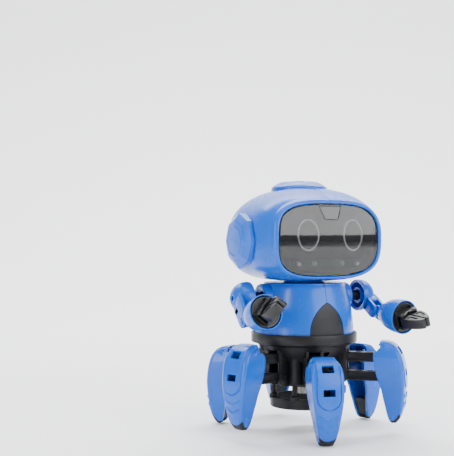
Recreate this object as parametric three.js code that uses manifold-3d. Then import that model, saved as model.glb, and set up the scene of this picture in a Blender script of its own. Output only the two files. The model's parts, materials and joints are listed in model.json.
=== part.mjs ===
// Six-legged toy robot: domed head with a smoked visor, barrel torso, two arms with claws,
// and a round chassis that carries six hollow legs on parallel links.
// Millimetres, +Z up, floor at z = 0, the robot faces -Y and its left side is +X.
import * as THREE from 'three';
import { mergeVertices } from 'three/addons/utils/BufferGeometryUtils.js';
import Module from 'manifold-3d';

const wasm = await Module();
wasm.setup();

// ---------------------------------------------------------------- driving dimensions
const GAP = 0.3; // clearance between neighbouring pieces
const WALL = 2.0; // moulded wall thickness

const HEAD = {
  z: 121.5, width: 43.5, front: 40.5, back: 40, height: 29,
  plan: 3.1, upper: 2.2, lower: 3.5, neckHole: 13.2,
};
const VISOR = {
  z: 117.9, halfWidth: 34.2, halfHeight: 21.7, corner: 18, front: 34.8,
  sagX: 3.1, sagZ: 3.5, thickness: 1.2,
};
const EYE = { x: 15.3, z: 120.9, halfWidth: 6.6, halfHeight: 9.0, stroke: 0.5 };
const EAR = { z: 117.3, base: 17, top: 13.6, reach: 48.6 };
const CAP = { y: 6, radius: 17.6, flat: 10.8, top: 154.3 };
const BUTTON = { radius: 3.6, top: 155, foot: 151.6 };

const TORSO = { bottom: 56.8, shoulderZ: 82.5, top: 91.6, neck: 12.4, neckTop: 98 };
const BELLY = { halfAngle: 21.7, apex: 80 };

const SHOULDER = { x: 40.1, z: 82.5, cup: 10, axle: 3.2 };
const ARM = { out: 4.5, reach: 17.5, knuckle: 4.2, forearm: 25, mouth: 10.5, tail: 4.9 };
const PITCH = { left: 32.0, right: 47.5 }; // upper arm below level, degrees
const FOREARM_AIM = { left: [0.14, -0.985, -0.1], right: [-0.01, -0.96, 0.28] };
const CLAW_ROLL = { left: 20, right: 48 };
const CLAW = { disc: 9.4, hinge: 4.4, pin: 1.2, fingerLength: 15.5, thickness: 6 };

const RIM = { radius: 32.9, top: 60.9, bottom: 54.6 };
const COLUMN = { radius: 16.5, bottom: 29.0, flange: 21.4 };
const HOOP = { outer: 21, inner: 17.6, bottom: 14.7, top: 21 };
const PILLAR = 1.65;
const POST_STEPS = [0, 2, 4, 5]; // gaps between legs that carry a hoop pillar, 60 degrees apart
const BOSS = { ring: 17.6, radius: 2.9, top: 46, frontRadius: 4.6, frontTop: 50 };
const WINDOW = { turn: 1, halfWidth: 2.55, bottom: 46.5, top: 50.3 };

const LEG = {
  turn: -15.8, swing: 5, lift: 6.3, pivotOut: 50, pivotIn: 24,
  upperZ: 46.2, lowerZ: 34.7, width: 19.2, wall: 1.8, pin: 1.3, linkHeight: 5.8, linkWidth: 6.4,
};
const LINK_LENGTH = LEG.pivotOut - LEG.pivotIn;
const LINK_DROP = Math.asin(LEG.lift / LINK_LENGTH); // slope of a grounded leg's links

const GEAR = { module: 0.75, pinionTeeth: 10, wheelTeeth: 30, z: 22.4, thickness: 4.4, turn: 74.2 };

// ---------------------------------------------------------------- materials
const finish = (color, roughness, metalness) => () =>
  new THREE.MeshStandardMaterial({ color, roughness, metalness });
const blue = finish(0x2f8df2, 0.22, 0);
const black = finish(0x1d1f24, 0.38, 0);
const smoked = finish(0x3c4043, 0.06, 0);
const glow = finish(0xc9ced2, 0.4, 0);
const rubber = finish(0x20242b, 0.7, 0);
const board = finish(0x1f5b35, 0.55, 0);
const steel = finish(0x9a9da1, 0.35, 0.9);
const ivory = finish(0xe6e4da, 0.45, 0);

// ---------------------------------------------------------------- helpers
const rad = THREE.MathUtils.degToRad;
const power = (value, exponent) => Math.abs(value) ** exponent;

// A closed three.js geometry as a solid that can be joined and cut.
function solid(geometry) {
  const plain = geometry.clone();
  plain.deleteAttribute('normal');
  plain.deleteAttribute('uv');
  const merged = mergeVertices(plain, 1e-4);
  return new wasm.Manifold(new wasm.Mesh({
    numProp: 3,
    vertProperties: new Float32Array(merged.attributes.position.array),
    triVerts: new Uint32Array(merged.index.array),
  }));
}

function joined(first, ...others) {
  return others.reduce((sum, other) => sum.add(other), first);
}

function cut(first, ...others) {
  return others.reduce((rest, other) => rest.subtract(other), first);
}

const robot = new THREE.Group();
robot.name = 'six_legged_robot';

function addPiece(name, shape, material, parent = robot) {
  const cleaned = shape.getMesh();
  const geometry = new THREE.BufferGeometry();
  geometry.setAttribute('position', new THREE.BufferAttribute(cleaned.vertProperties, 3));
  geometry.setIndex(new THREE.BufferAttribute(cleaned.triVerts, 1));
  geometry.computeVertexNormals();
  const mesh = new THREE.Mesh(geometry, material());
  mesh.name = name;
  parent.add(mesh);
  return mesh;
}

// Box between two corners.
function block(x0, x1, y0, y1, z0, z1) {
  const geometry = new THREE.BoxGeometry(x1 - x0, y1 - y0, z1 - z0);
  return solid(geometry.translate((x0 + x1) / 2, (y0 + y1) / 2, (z0 + z1) / 2));
}

// Straight round rod or cone from one point to another.
function rod(from, to, radius, endRadius = radius, sides = 16) {
  const start = new THREE.Vector3(...from);
  const along = new THREE.Vector3(...to).sub(start);
  const geometry = new THREE.CylinderGeometry(endRadius, radius, along.length(), sides);
  geometry.translate(0, along.length() / 2, 0);
  const turn = new THREE.Quaternion().setFromUnitVectors(
    new THREE.Vector3(0, 1, 0), along.clone().normalize());
  return solid(geometry.applyQuaternion(turn).translate(...from));
}

// Solid of revolution about Z from [radius, z] points that start and end on the axis.
function turned(points, sides = 32) {
  const profile = points.map(([radius, z]) => new THREE.Vector2(radius, z));
  return solid(new THREE.LatheGeometry(profile, sides).rotateX(Math.PI / 2));
}

// Plate with an outline in the XZ plane that runs from y0 to y1.
function plateXZ(shape, y0, y1, curveSegments = 8) {
  const geometry = new THREE.ExtrudeGeometry(shape, {
    depth: y1 - y0, bevelEnabled: false, curveSegments,
  });
  return solid(geometry.rotateX(Math.PI / 2).translate(0, y1, 0));
}

function outline(points) {
  return new THREE.Shape(points.map(([x, y]) => new THREE.Vector2(x, y)));
}

function smoothOutline(points, count) {
  const curve = new THREE.SplineCurve(points.map(([x, y]) => new THREE.Vector2(x, y)));
  return curve.getPoints(count);
}

function roundedRectangle(halfWidth, halfHeight, corner, centreY = 0) {
  const shape = new THREE.Shape();
  const x = halfWidth - corner;
  const y = halfHeight - corner;
  shape.absarc(x, centreY + y, corner, 0, Math.PI / 2);
  shape.absarc(-x, centreY + y, corner, Math.PI / 2, Math.PI);
  shape.absarc(-x, centreY - y, corner, Math.PI, Math.PI * 1.5);
  shape.absarc(x, centreY - y, corner, Math.PI * 1.5, Math.PI * 2);
  return shape;
}

// ---------------------------------------------------------------- head
// Rounded-box form: one exponent shapes the plan, two others the upper and lower halves.
function headForm(inset, segments = 32, rings = 16) {
  const geometry = new THREE.SphereGeometry(1, segments, rings).rotateX(Math.PI / 2);
  const place = geometry.attributes.position;
  const point = new THREE.Vector3();
  for (let i = 0; i < place.count; i += 1) {
    point.fromBufferAttribute(place, i);
    const depth = (point.y < 0 ? HEAD.front : HEAD.back) - inset;
    const rise = HEAD.height - inset;
    const exponent = point.z > 0 ? HEAD.upper : HEAD.lower;
    const plan = power(point.x / (HEAD.width - inset), HEAD.plan) + power(point.y / depth, HEAD.plan);
    const scale = (power(plan, exponent / HEAD.plan) + power(point.z / rise, exponent)) ** (-1 / exponent);
    place.setXYZ(i, point.x * scale, point.y * scale, point.z * scale + HEAD.z);
  }
  return solid(geometry);
}

// Thin sheet bowed like the visor; its outer face lies at VISOR.front less the inset.
function bowedSheet(inset, thickness) {
  const wide = 2 * VISOR.halfWidth + 6;
  const tall = 2 * VISOR.halfHeight + 6;
  const geometry = new THREE.BoxGeometry(wide, thickness, tall, 10, 1, 6);
  const place = geometry.attributes.position;
  for (let i = 0; i < place.count; i += 1) {
    const sag = VISOR.sagX * (place.getX(i) / VISOR.halfWidth) ** 2
      + VISOR.sagZ * (place.getZ(i) / VISOR.halfHeight) ** 2;
    place.setY(i, place.getY(i) + thickness / 2 - VISOR.front + inset + sag);
  }
  return solid(geometry.translate(0, 0, VISOR.z));
}

function visorOutline(grow) {
  return roundedRectangle(
    VISOR.halfWidth + grow, VISOR.halfHeight + grow, VISOR.corner + grow, VISOR.z);
}

function sensorOutline(grow) {
  const top = 138 + grow;
  const bottom = 130.2 - grow;
  return outline([
    [-7.3 - grow, top], [-4.3 - grow, bottom], [4.3 + grow, bottom], [7.3 + grow, top],
  ]);
}

function buildHead() {
  const outer = headForm(0, 32, 14);
  const inner = headForm(2.4, 20, 10);
  const clearOuter = headForm(-GAP - 0.1, 32, 14);
  const shell = cut(
    outer, inner,
    plateXZ(visorOutline(GAP), -60, -20, 10),
    rod([0, 0, HEAD.z - 40], [0, 0, HEAD.z - 10], HEAD.neckHole, HEAD.neckHole, 32),
    rod([0, CAP.y, 146], [0, CAP.y, 160], BUTTON.radius + 1.5),
  );
  for (const [side, sign] of [['left', 1], ['right', -1]]) {
    const half = sign > 0
      ? block(GAP / 2, 60, -60, 60, 80, 160)
      : block(-60, -GAP / 2, -60, 60, 80, 160);
    addPiece(`head_shell_${side}`, shell.intersect(half), blue);

    const disc = joined(
      rod([sign * 36, 0, EAR.z], [sign * 44.8, 0, EAR.z], EAR.base, EAR.base, 16),
      rod([sign * 44.8, 0, EAR.z], [sign * EAR.reach, 0, EAR.z], EAR.base, EAR.top, 16),
    );
    addPiece(`ear_cap_${side}`, cut(disc, clearOuter), blue);

    const ringForm = (halfWidth, halfHeight) => {
      const shape = new THREE.Shape();
      shape.absellipse(sign * EYE.x, EYE.z, halfWidth, halfHeight, 0, Math.PI * 2);
      return shape;
    };
    const ring = ringForm(EYE.halfWidth + EYE.stroke, EYE.halfHeight + EYE.stroke);
    ring.holes.push(ringForm(EYE.halfWidth - EYE.stroke, EYE.halfHeight - EYE.stroke));
    addPiece(`eye_ring_${side}`, plateXZ(ring, -30.8, -30.0, 12), glow);
  }

  const window = bowedSheet(0, VISOR.thickness).intersect(plateXZ(sensorOutline(0), -60, -20));
  addPiece('sensor_window', window, smoked);
  const pane = bowedSheet(0, VISOR.thickness).intersect(plateXZ(visorOutline(0), -60, -20, 10));
  addPiece('visor', cut(pane, plateXZ(sensorOutline(GAP), -60, -20)), smoked);

  const plate = plateXZ(visorOutline(1), -27.8, -26.4).intersect(headForm(3.2, 24, 12));
  addPiece('face_plate', plate, black);
  const leds = [-20, -9.4, 9.4, 20].map((x) => rod([x, -29, 104], [x, -30.6, 104], 1.5, 1.1, 12));
  addPiece('ir_led_board', joined(block(-24, 24, -29.3, -28.2, 101.8, 106.2), ...leds), board);

  const lid = turnedAt(0, CAP.y, [
    [0, 140], [CAP.radius, 140], [CAP.radius, CAP.top - 4.2], [CAP.radius - 1.2, CAP.top - 2.8],
    [CAP.flat + 1.6, CAP.top - 0.5], [CAP.flat, CAP.top], [0, CAP.top],
  ]);
  const well = rod([0, CAP.y, 130], [0, CAP.y, 160], BUTTON.radius + GAP);
  addPiece('head_cap', cut(lid, clearOuter, well), blue);
  const button = turnedAt(0, CAP.y, [
    [0, BUTTON.foot], [BUTTON.radius, BUTTON.foot], [BUTTON.radius, BUTTON.top - 0.5],
    [BUTTON.radius - 0.5, BUTTON.top], [0, BUTTON.top],
  ], 24);
  addPiece('mode_button', button, black);
  addPiece('circuit_board', block(-26, 26, 4, 5.6, 104, 136), board);
}

function turnedAt(x, y, points, sides = 32) {
  return turned(points, sides).translate([x, y, 0]);
}

// ---------------------------------------------------------------- torso
const TORSO_SIDE = [
  [30.9, TORSO.bottom], [30.8, 63], [30.3, 70], [29.2, 77],
  [27.4, 85], [25.2, TORSO.top - 1], [24.2, TORSO.top],
];

function torsoForm(inset) {
  const wall = TORSO_SIDE.map(([radius, z]) => [radius - inset, Math.min(z, TORSO.top - inset)]);
  return turned([[0, TORSO.bottom], ...wall, [0, TORSO.top - inset]], 32);
}

// Pointed arch seen from the front, standing on the chassis rim.
function bellyOutline(grow) {
  const half = 30.9 * Math.sin(rad(BELLY.halfAngle)) + grow;
  const foot = TORSO.bottom - 1;
  const shape = new THREE.Shape();
  shape.moveTo(-half, foot);
  shape.lineTo(half, foot);
  shape.lineTo(half, foot + 5);
  shape.quadraticCurveTo(half - 1, BELLY.apex - 5, 0.8, BELLY.apex + grow);
  shape.lineTo(-0.8, BELLY.apex + grow);
  shape.quadraticCurveTo(1 - half, BELLY.apex - 5, -half, foot + 5);
  return shape;
}

function buildTorso() {
  const hollow = cut(torsoForm(WALL), block(-40, 40, -40, 40, TORSO.bottom - 3, TORSO.bottom - 1));
  const neck = rod([0, 0, TORSO.top - 1], [0, 0, TORSO.neckTop], TORSO.neck, TORSO.neck, 32);
  const neckBore = rod(
    [0, 0, TORSO.top - 4], [0, 0, TORSO.neckTop + 2], TORSO.neck - WALL, TORSO.neck - WALL, 32);
  const axleHole = rod(
    [-50, 0, SHOULDER.z], [50, 0, SHOULDER.z], SHOULDER.axle + GAP, SHOULDER.axle + GAP, 20);
  const switchHole = block(-4.3, 4.3, 20, 40, 65.7, 70.3);
  const shell = cut(
    joined(torsoForm(0), neck), hollow, neckBore, axleHole, switchHole,
    plateXZ(bellyOutline(GAP), -40, -10, 8),
  );
  for (const [side, sign] of [['left', 1], ['right', -1]]) {
    const half = sign > 0
      ? block(GAP / 2, 40, -40, 40, 50, 110)
      : block(-40, -GAP / 2, -40, 40, 50, 110);
    addPiece(`torso_shell_${side}`, shell.intersect(half), blue);

    // Axle peg with a flange inside the torso wall.
    const axle = joined(
      rod([sign * 21, 0, SHOULDER.z], [sign * 23.6, 0, SHOULDER.z], 5.2),
      rod([sign * 21, 0, SHOULDER.z], [sign * 47, 0, SHOULDER.z], SHOULDER.axle),
    );
    addPiece(`shoulder_axle_${side}`, axle, black);
  }
  const skin = cut(torsoForm(0), torsoForm(WALL + 0.2));
  addPiece('belly_plate', skin.intersect(plateXZ(bellyOutline(0), -40, -10, 8)), black);
  addPiece('battery_pack', block(-15, 15, -12, 14, 58.5, 78), ivory);
  addPiece('power_switch', block(-1.8, 1.8, 27, 31.6, 66.2, 69.8), black);
}

// ---------------------------------------------------------------- arms
function elbowPoint(side, sign) {
  const fall = rad(PITCH[side]);
  return [
    sign * (SHOULDER.x + ARM.out),
    -ARM.reach * Math.cos(fall),
    SHOULDER.z - ARM.reach * Math.sin(fall),
  ];
}

// The arm's own frame: X outward from the torso, Y along the upper arm, origin at the shoulder.
function upperArm() {
  const ball = solid(new THREE.SphereGeometry(SHOULDER.cup, 16, 10));
  const hollow = solid(new THREE.SphereGeometry(SHOULDER.cup - WALL, 12, 8));
  const mouth = block(-20, -2, -20, 20, -20, 20);
  const hub = rod([-1, 0, 0], [SHOULDER.cup - 1.6, 0, 0], SHOULDER.axle + 2.2, SHOULDER.axle + 2.2, 12);
  const bore = rod([-5, 0, 0], [7.3, 0, 0], SHOULDER.axle + GAP, SHOULDER.axle + GAP, 12);
  const screwHole = rod([6, 0, 0], [12, 0, 0], 1.6, 1.6, 8);
  const tine = (x0, x1) => joined(
    rod([x0, ARM.reach, 0], [x1, ARM.reach, 0], ARM.knuckle, ARM.knuckle, 14),
    block(x0, x1, 7.2, ARM.reach, -3.2, 3.2),
  );
  const web = block(ARM.out - 4.4, ARM.out + 4.4, 7.2, 10.4, -3.6, 3.6);
  // Outer cover plate, widest behind the elbow where the forearm never swings.
  const guard = plateXZ(outline([
    [3, 0], [ARM.reach, 0], [ARM.reach + 4.6, 2.6], [ARM.reach + 4.2, 5], [ARM.reach, 7.2],
    [ARM.reach - 6, 8.6], [6, 8.8], [3, 8.8],
  ]), -ARM.out - 4.8, -ARM.out - 2.6).rotate([0, 0, 90]);
  const pin = rod([ARM.out - 4, ARM.reach, 0], [ARM.out + 4, ARM.reach, 0], 1.3, 1.3, 8);
  const clevis = joined(
    tine(ARM.out - 4.4, ARM.out - 2.6), tine(ARM.out + 2.6, ARM.out + 4.4), web, pin, guard);
  const cup = cut(ball, hollow, mouth);
  return cut(joined(cup, hub, cut(clevis, hollow)), bore, screwHole);
}

// The forearm's own frame: Y runs from the elbow to the open mouth, X is the elbow axis.
function forearmCup() {
  const start = 5.6;
  const cone = turned([
    [0, start], [ARM.tail, start], [ARM.tail + 2.6, start + 4], [ARM.mouth - 1, start + 12],
    [ARM.mouth, ARM.forearm - 3], [ARM.mouth, ARM.forearm], [0, ARM.forearm],
  ], 24).rotate([-90, 0, 0]);
  const hollow = turned([
    [0, start + 6], [ARM.tail, start + 6], [CLAW.disc + GAP, start + 14],
    [CLAW.disc + GAP, ARM.forearm + 1], [0, ARM.forearm + 1],
  ], 20).rotate([-90, 0, 0]);
  const eye = joined(
    rod([-1.7, 0, 0], [1.7, 0, 0], 3.7, 3.7, 14),
    block(-1.7, 1.7, 0, start + 1, -2.8, 2.8),
  );
  const bore = rod([-5, 0, 0], [5, 0, 0], 1.3 + GAP, 1.3 + GAP, 10);
  const screwHole = rod([4, 13, 0], [14, 13, 0], 1.5, 1.5, 12);
  return cut(joined(cone, eye), hollow, bore, screwHole);
}

// The claw's own frame: Y points forward from the disc's seat, X carries the hinge pins apart.
function clawBase() {
  const disc = rod([0, -2.6, 0], [0, 0, 0], CLAW.disc - 0.05, CLAW.disc - 0.05, 24);
  const stem = rod([0, -8, 0], [0, -2, 0], 3, 3, 16);
  const palm = block(-3.4, 3.4, -0.5, 3, -4.4, 4.4);
  const cheek = (z0, z1) => block(-6.6, 6.6, -0.5, 7, z0, z1);
  const half = CLAW.thickness / 2;
  const pins = [1, -1].map((sign) => rod(
    [sign * CLAW.hinge, 5, -half - 1.4], [sign * CLAW.hinge, 5, half + 1.4], CLAW.pin, CLAW.pin, 12));
  return joined(disc, stem, palm, cheek(half + GAP, half + 1.8), cheek(-half - 1.8, -half - GAP), ...pins);
}

// Wedge finger with a flat inner face, hinged at its root.
function clawFinger(sign) {
  const inner = 0.25;
  const side = outline([
    [inner, 4.4], [2.6, 3.2], [CLAW.hinge, 3.0], [CLAW.hinge + 2, 4.2], [CLAW.hinge + 2.8, 7.2],
    [CLAW.hinge + 1.6, 12], [3.4, CLAW.fingerLength + 3.2], [1.6, CLAW.fingerLength + 4.4],
    [inner, CLAW.fingerLength + 4.4],
  ]);
  const half = CLAW.thickness / 2;
  const body = solid(new THREE.ExtrudeGeometry(side, { depth: CLAW.thickness, bevelEnabled: false })
    .translate(0, 0, -half));
  const bore = rod([CLAW.hinge, 5, -10], [CLAW.hinge, 5, 10], CLAW.pin + GAP, CLAW.pin + GAP, 12);
  const finger = cut(body, bore);
  return sign > 0 ? finger : finger.mirror([1, 0, 0]);
}

function buildArm(side, sign) {
  const elbow = new THREE.Vector3(...elbowPoint(side, sign));
  const arm = upperArm();
  const upper = addPiece(`upper_arm_${side}`, sign > 0 ? arm : arm.mirror([1, 0, 0]), blue);
  upper.position.set(sign * SHOULDER.x, 0, SHOULDER.z);
  upper.rotation.x = Math.PI + rad(PITCH[side]);

  const aim = new THREE.Vector3(...FOREARM_AIM[side]).normalize();
  const turn = new THREE.Quaternion().setFromUnitVectors(
    new THREE.Vector3(0, -1, 0), new THREE.Vector3(0, aim.y, aim.z).normalize());
  const splay = new THREE.Quaternion().setFromUnitVectors(
    new THREE.Vector3(0, aim.y, aim.z).normalize(), aim);
  const forearm = new THREE.Group();
  forearm.position.copy(elbow);
  forearm.quaternion.copy(splay.multiply(turn))
    .multiply(new THREE.Quaternion().setFromAxisAngle(new THREE.Vector3(0, 0, 1), Math.PI));
  robot.add(forearm);
  addPiece(`forearm_cup_${side}`, forearmCup(), blue, forearm);

  const claw = new THREE.Group();
  claw.position.set(0, ARM.forearm - 0.4, 0);
  claw.rotation.y = rad(CLAW_ROLL[side]);
  forearm.add(claw);
  addPiece(`claw_base_${side}`, clawBase(), black, claw);
  addPiece(`claw_finger_a_${side}`, clawFinger(1), black, claw);
  addPiece(`claw_finger_b_${side}`, clawFinger(-1), black, claw);
}

// ---------------------------------------------------------------- chassis
// Leg names run clockwise from the front right; every other leg stands on the floor.
const LEGS = ['a', 'b', 'c', 'd', 'e', 'f'].map((name, index) => {
  const raised = index % 2 === 1;
  return { name, raised, angle: LEG.turn + 60 * (index - 2) + (raised ? LEG.swing : 0) };
});

// Turn about Z that sends +X to the bearing, measured from the front towards the left side.
const bearingTurn = (angle) => angle - 90;
const POST_BEARINGS = POST_STEPS.map((step) => LEG.turn + 30 + 60 * step);

function buildChassis() {
  const tray = turned([
    [0, 38.6], [COLUMN.radius - 0.3, 38.6], [COLUMN.radius, 39.5], [21, 44.5], [27.6, 50.4], [28.6, 53],
    [RIM.radius - 0.6, RIM.bottom], [RIM.radius, RIM.bottom + 1], [RIM.radius, RIM.top],
    [RIM.radius - 1.4, RIM.top], [RIM.radius - 1.4, 56.3], [20, 56.3], [15.2, 50], [14.4, 40.8], [0, 40.8],
  ], 32);
  const tube = cut(
    rod([0, 0, COLUMN.bottom], [0, 0, 40], COLUMN.radius, COLUMN.radius, 24),
    rod([0, 0, COLUMN.bottom - 1], [0, 0, 39], COLUMN.radius - WALL, COLUMN.radius - WALL, 20),
  );
  const flange = rod(
    [0, 0, COLUMN.bottom], [0, 0, COLUMN.bottom + 1.6], COLUMN.flange, COLUMN.flange, 32);
  const shaftHole = rod([0, 0, COLUMN.bottom - 1], [0, 0, 60], 2, 2, 16);
  const gearRoom = rod(
    [0, 0, COLUMN.bottom + 1.6], [0, 0, 38.6], COLUMN.radius - WALL, COLUMN.radius - WALL, 20);
  const inside = LEG.linkWidth / 2 + GAP;
  const brackets = LEGS.flatMap(({ angle }) => {
    const cheek = (y0, y1) => block(15.6, LEG.pivotIn + 3.6, y0, y1, COLUMN.bottom, 51.5);
    const pin = (z) => rod([LEG.pivotIn, -inside - 1, z], [LEG.pivotIn, inside + 1, z], LEG.pin, LEG.pin, 8);
    return [cheek(inside, inside + 1.8), cheek(-inside - 1.8, -inside), pin(LEG.upperZ), pin(LEG.lowerZ)]
      .map((piece) => piece.rotate([0, 0, bearingTurn(angle)]));
  });
  const wheelAxle = rod([0, 0, GEAR.z - 1], [0, 0, COLUMN.bottom + 1], 1.6, 1.6, 12)
    .translate(wheelCentre());
  const pockets = LEGS.map(({ angle }) =>
    block(20.6, 40, -inside, inside, 42, 50.2).rotate([0, 0, bearingTurn(angle)]));
  const window = block(20.6, 40, -WINDOW.halfWidth, WINDOW.halfWidth, WINDOW.bottom, WINDOW.top)
    .rotate([0, 0, bearingTurn(WINDOW.turn)]);
  const bosses = POST_BEARINGS.map((angle, index) => {
    const front = index === POST_BEARINGS.length - 1;
    const radius = front ? BOSS.frontRadius : BOSS.radius;
    const top = front ? BOSS.frontTop : BOSS.top;
    return rod([BOSS.ring, 0, COLUMN.bottom + 1], [BOSS.ring, 0, top], radius)
      .rotate([0, 0, bearingTurn(angle)]);
  });
  const bowl = cut(joined(tray, tube, flange, ...bosses), ...pockets, window, gearRoom);
  addPiece('chassis_tray', cut(joined(bowl, ...brackets, wheelAxle), shaftHole), black);

  const ring = cut(
    rod([0, 0, HOOP.bottom], [0, 0, HOOP.top], HOOP.outer, HOOP.outer, 32),
    rod([0, 0, HOOP.bottom - 1], [0, 0, HOOP.top + 1], HOOP.inner, HOOP.inner, 24),
  );
  const pillars = POST_BEARINGS.map((angle) => {
    const bearing = rad(bearingTurn(angle));
    const x = 19.3 * Math.cos(bearing);
    const y = 19.3 * Math.sin(bearing);
    return rod([x, y, HOOP.top - 1], [x, y, COLUMN.bottom - GAP], PILLAR, PILLAR, 8);
  });
  addPiece('lower_hoop', joined(ring, ...pillars), black);

  const can = joined(
    rod([0, 0, 41.2], [0, 0, 57.2], 10, 10, 32),
    rod([0, 0, GEAR.z], [0, 0, 42], 1, 1, 12),
  );
  addPiece('motor', can, steel);
}

function wheelCentre() {
  const spacing = GEAR.module * (GEAR.pinionTeeth + GEAR.wheelTeeth) / 2;
  const bearing = rad(bearingTurn(GEAR.turn));
  return [spacing * Math.cos(bearing), spacing * Math.sin(bearing), 0];
}

// Spur gear with straight-sided teeth and a bore, its first tooth on +X turned by phase degrees.
function gear(teeth, bore, phase) {
  const pitch = GEAR.module * teeth / 2;
  const tip = pitch + 0.7 * GEAR.module;
  const root = pitch - 1.1 * GEAR.module;
  const shape = new THREE.Shape();
  for (let tooth = 0; tooth < teeth; tooth += 1) {
    const step = 2 * Math.PI / teeth;
    const centre = step * tooth + rad(phase);
    for (const [radius, offset] of [[root, -0.3], [tip, -0.12], [tip, 0.12], [root, 0.3]]) {
      const x = radius * Math.cos(centre + step * offset);
      const y = radius * Math.sin(centre + step * offset);
      if (shape.curves.length === 0 && tooth === 0 && offset === -0.3) shape.moveTo(x, y);
      else shape.lineTo(x, y);
    }
  }
  const body = solid(new THREE.ExtrudeGeometry(shape, { depth: GEAR.thickness, bevelEnabled: false }));
  return cut(body, rod([0, 0, -1], [0, 0, 9], bore, bore, 16)).translate([0, 0, GEAR.z]);
}

function buildGears() {
  const facing = bearingTurn(GEAR.turn);
  addPiece('motor_pinion', gear(GEAR.pinionTeeth, 1 + GAP, facing), ivory);
  const wheelPhase = facing + 180 + 180 / GEAR.wheelTeeth;
  addPiece('drive_gear', gear(GEAR.wheelTeeth, 1.6 + GAP, wheelPhase).translate(wheelCentre()), black);
}

// ---------------------------------------------------------------- legs
// Side view of a leg as [radius, height] points; the sole is flat at height 0.
const LEG_BACK = [
  [48.7, 45], [45.2, 44.3], [44.5, 41], [45.1, 36], [46.4, 30], [47.9, 25], [49.3, 20.8],
  [50.2, 15.8], [51.2, 11.6], [52, 7.6], [53, 3.9], [54.1, 1.6], [55.2, 0],
];
const LEG_FACE = [
  [58.9, 1.6], [60.3, 3.2], [61.8, 5.6], [62.9, 9.3], [63.8, 17], [64.1, 24], [63.7, 31], [63, 36],
  [61.9, 40], [60.3, 43.8], [57.9, 46.9], [55.3, 48.6], [52.5, 49.3], [48.3, 49.4],
];
// Half width of a leg as [below the full half width, height] points, from the top down.
const LEG_TAPER = [
  [3, 49.5], [1.9, 48.6], [1.1, 47.2], [0.5, 45], [0, 41], [0, 36], [0.5, 27], [1.1, 22.3],
  [1.9, 17.6], [2.7, 13], [3.5, 8.4], [4.4, 3.7], [5.6, -1],
];

function legForm(inset) {
  const face = smoothOutline([[57.6, 0], ...LEG_FACE], 18).map((p) => [p.x - inset, p.y]);
  const back = LEG_BACK.map(([radius, z]) => [radius - (inset > 0 ? 12 : 0), z]);
  const side = plateXZ(outline([...back, ...face]), -LEG.width, LEG.width);
  const half = LEG.width / 2 - inset;
  const right = LEG_TAPER.map(([less, z]) => [half - less, z]);
  const left = LEG_TAPER.map(([less, z]) => [less - half, z]).reverse();
  const front = outline([...right, ...left]);
  const width = plateXZ(front, -80, -20).rotate([0, 0, 90]);
  return side.intersect(width);
}

function legShell() {
  const slots = [44, 31.2].map((z) => block(56.6, 70, -3.5, 3.5, z - 1.85, z + 1.85));
  const sole = block(40, 70, -20, 20, -5, 3.2);
  const roof = block(30, 60, -20, 20, 47.4, 60);
  const cavity = cut(legForm(LEG.wall), roof);
  const pins = [LEG.upperZ, LEG.lowerZ].map((z) => rod(
    [LEG.pivotOut, -LEG.width / 2 + 1.2, z - LEG.lift],
    [LEG.pivotOut, LEG.width / 2 - 1.2, z - LEG.lift], LEG.pin, LEG.pin, 8));
  return joined(cut(legForm(0), cavity, sole, ...slots), ...pins);
}

function footPad() {
  return legForm(0).intersect(block(40, 70, -20, 20, -5, 3.2 - GAP));
}

// Flat bar with an eye at each end, along +X from the inner pivot at the origin.
function legLink() {
  const half = LEG.linkWidth / 2;
  const eyeRadius = LEG.linkHeight / 2;
  const eyeAt = (x) => rod([x, -half, 0], [x, half, 0], eyeRadius, eyeRadius, 12);
  const bore = (x) => rod([x, -10, 0], [x, 10, 0], LEG.pin + GAP, LEG.pin + GAP, 10);
  const bar = block(0, LINK_LENGTH, -half, half, -eyeRadius, eyeRadius);
  return cut(joined(bar, eyeAt(0), eyeAt(LINK_LENGTH)), bore(0), bore(LINK_LENGTH));
}

function buildLeg({ name, raised, angle }) {
  const leg = new THREE.Group();
  leg.rotation.z = rad(bearingTurn(angle));
  robot.add(leg);
  const slope = raised ? 0 : LINK_DROP;
  for (const [level, z] of [['upper', LEG.upperZ], ['lower', LEG.lowerZ]]) {
    const link = addPiece(`${level}_link_${name}`, legLink(), black, leg);
    link.position.set(LEG.pivotIn, 0, z);
    link.rotation.y = slope;
  }
  const shift = LINK_LENGTH * (Math.cos(slope) - 1);
  for (const [part, shape, material] of [['leg_shell', legShell(), blue], ['foot_pad', footPad(), rubber]]) {
    const mesh = addPiece(`${part}_${name}`, shape, material, leg);
    mesh.position.set(shift, 0, raised ? LEG.lift : 0);
  }
}

buildHead();
buildTorso();
buildArm('left', 1);
buildArm('right', -1);
buildChassis();
buildGears();
LEGS.forEach(buildLeg);

export default robot;
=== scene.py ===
"""Looks of the six-legged toy robot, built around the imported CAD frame."""
import json
import math

import bmesh
import bpy
import numpy as np
from mathutils import Matrix, Vector


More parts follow.
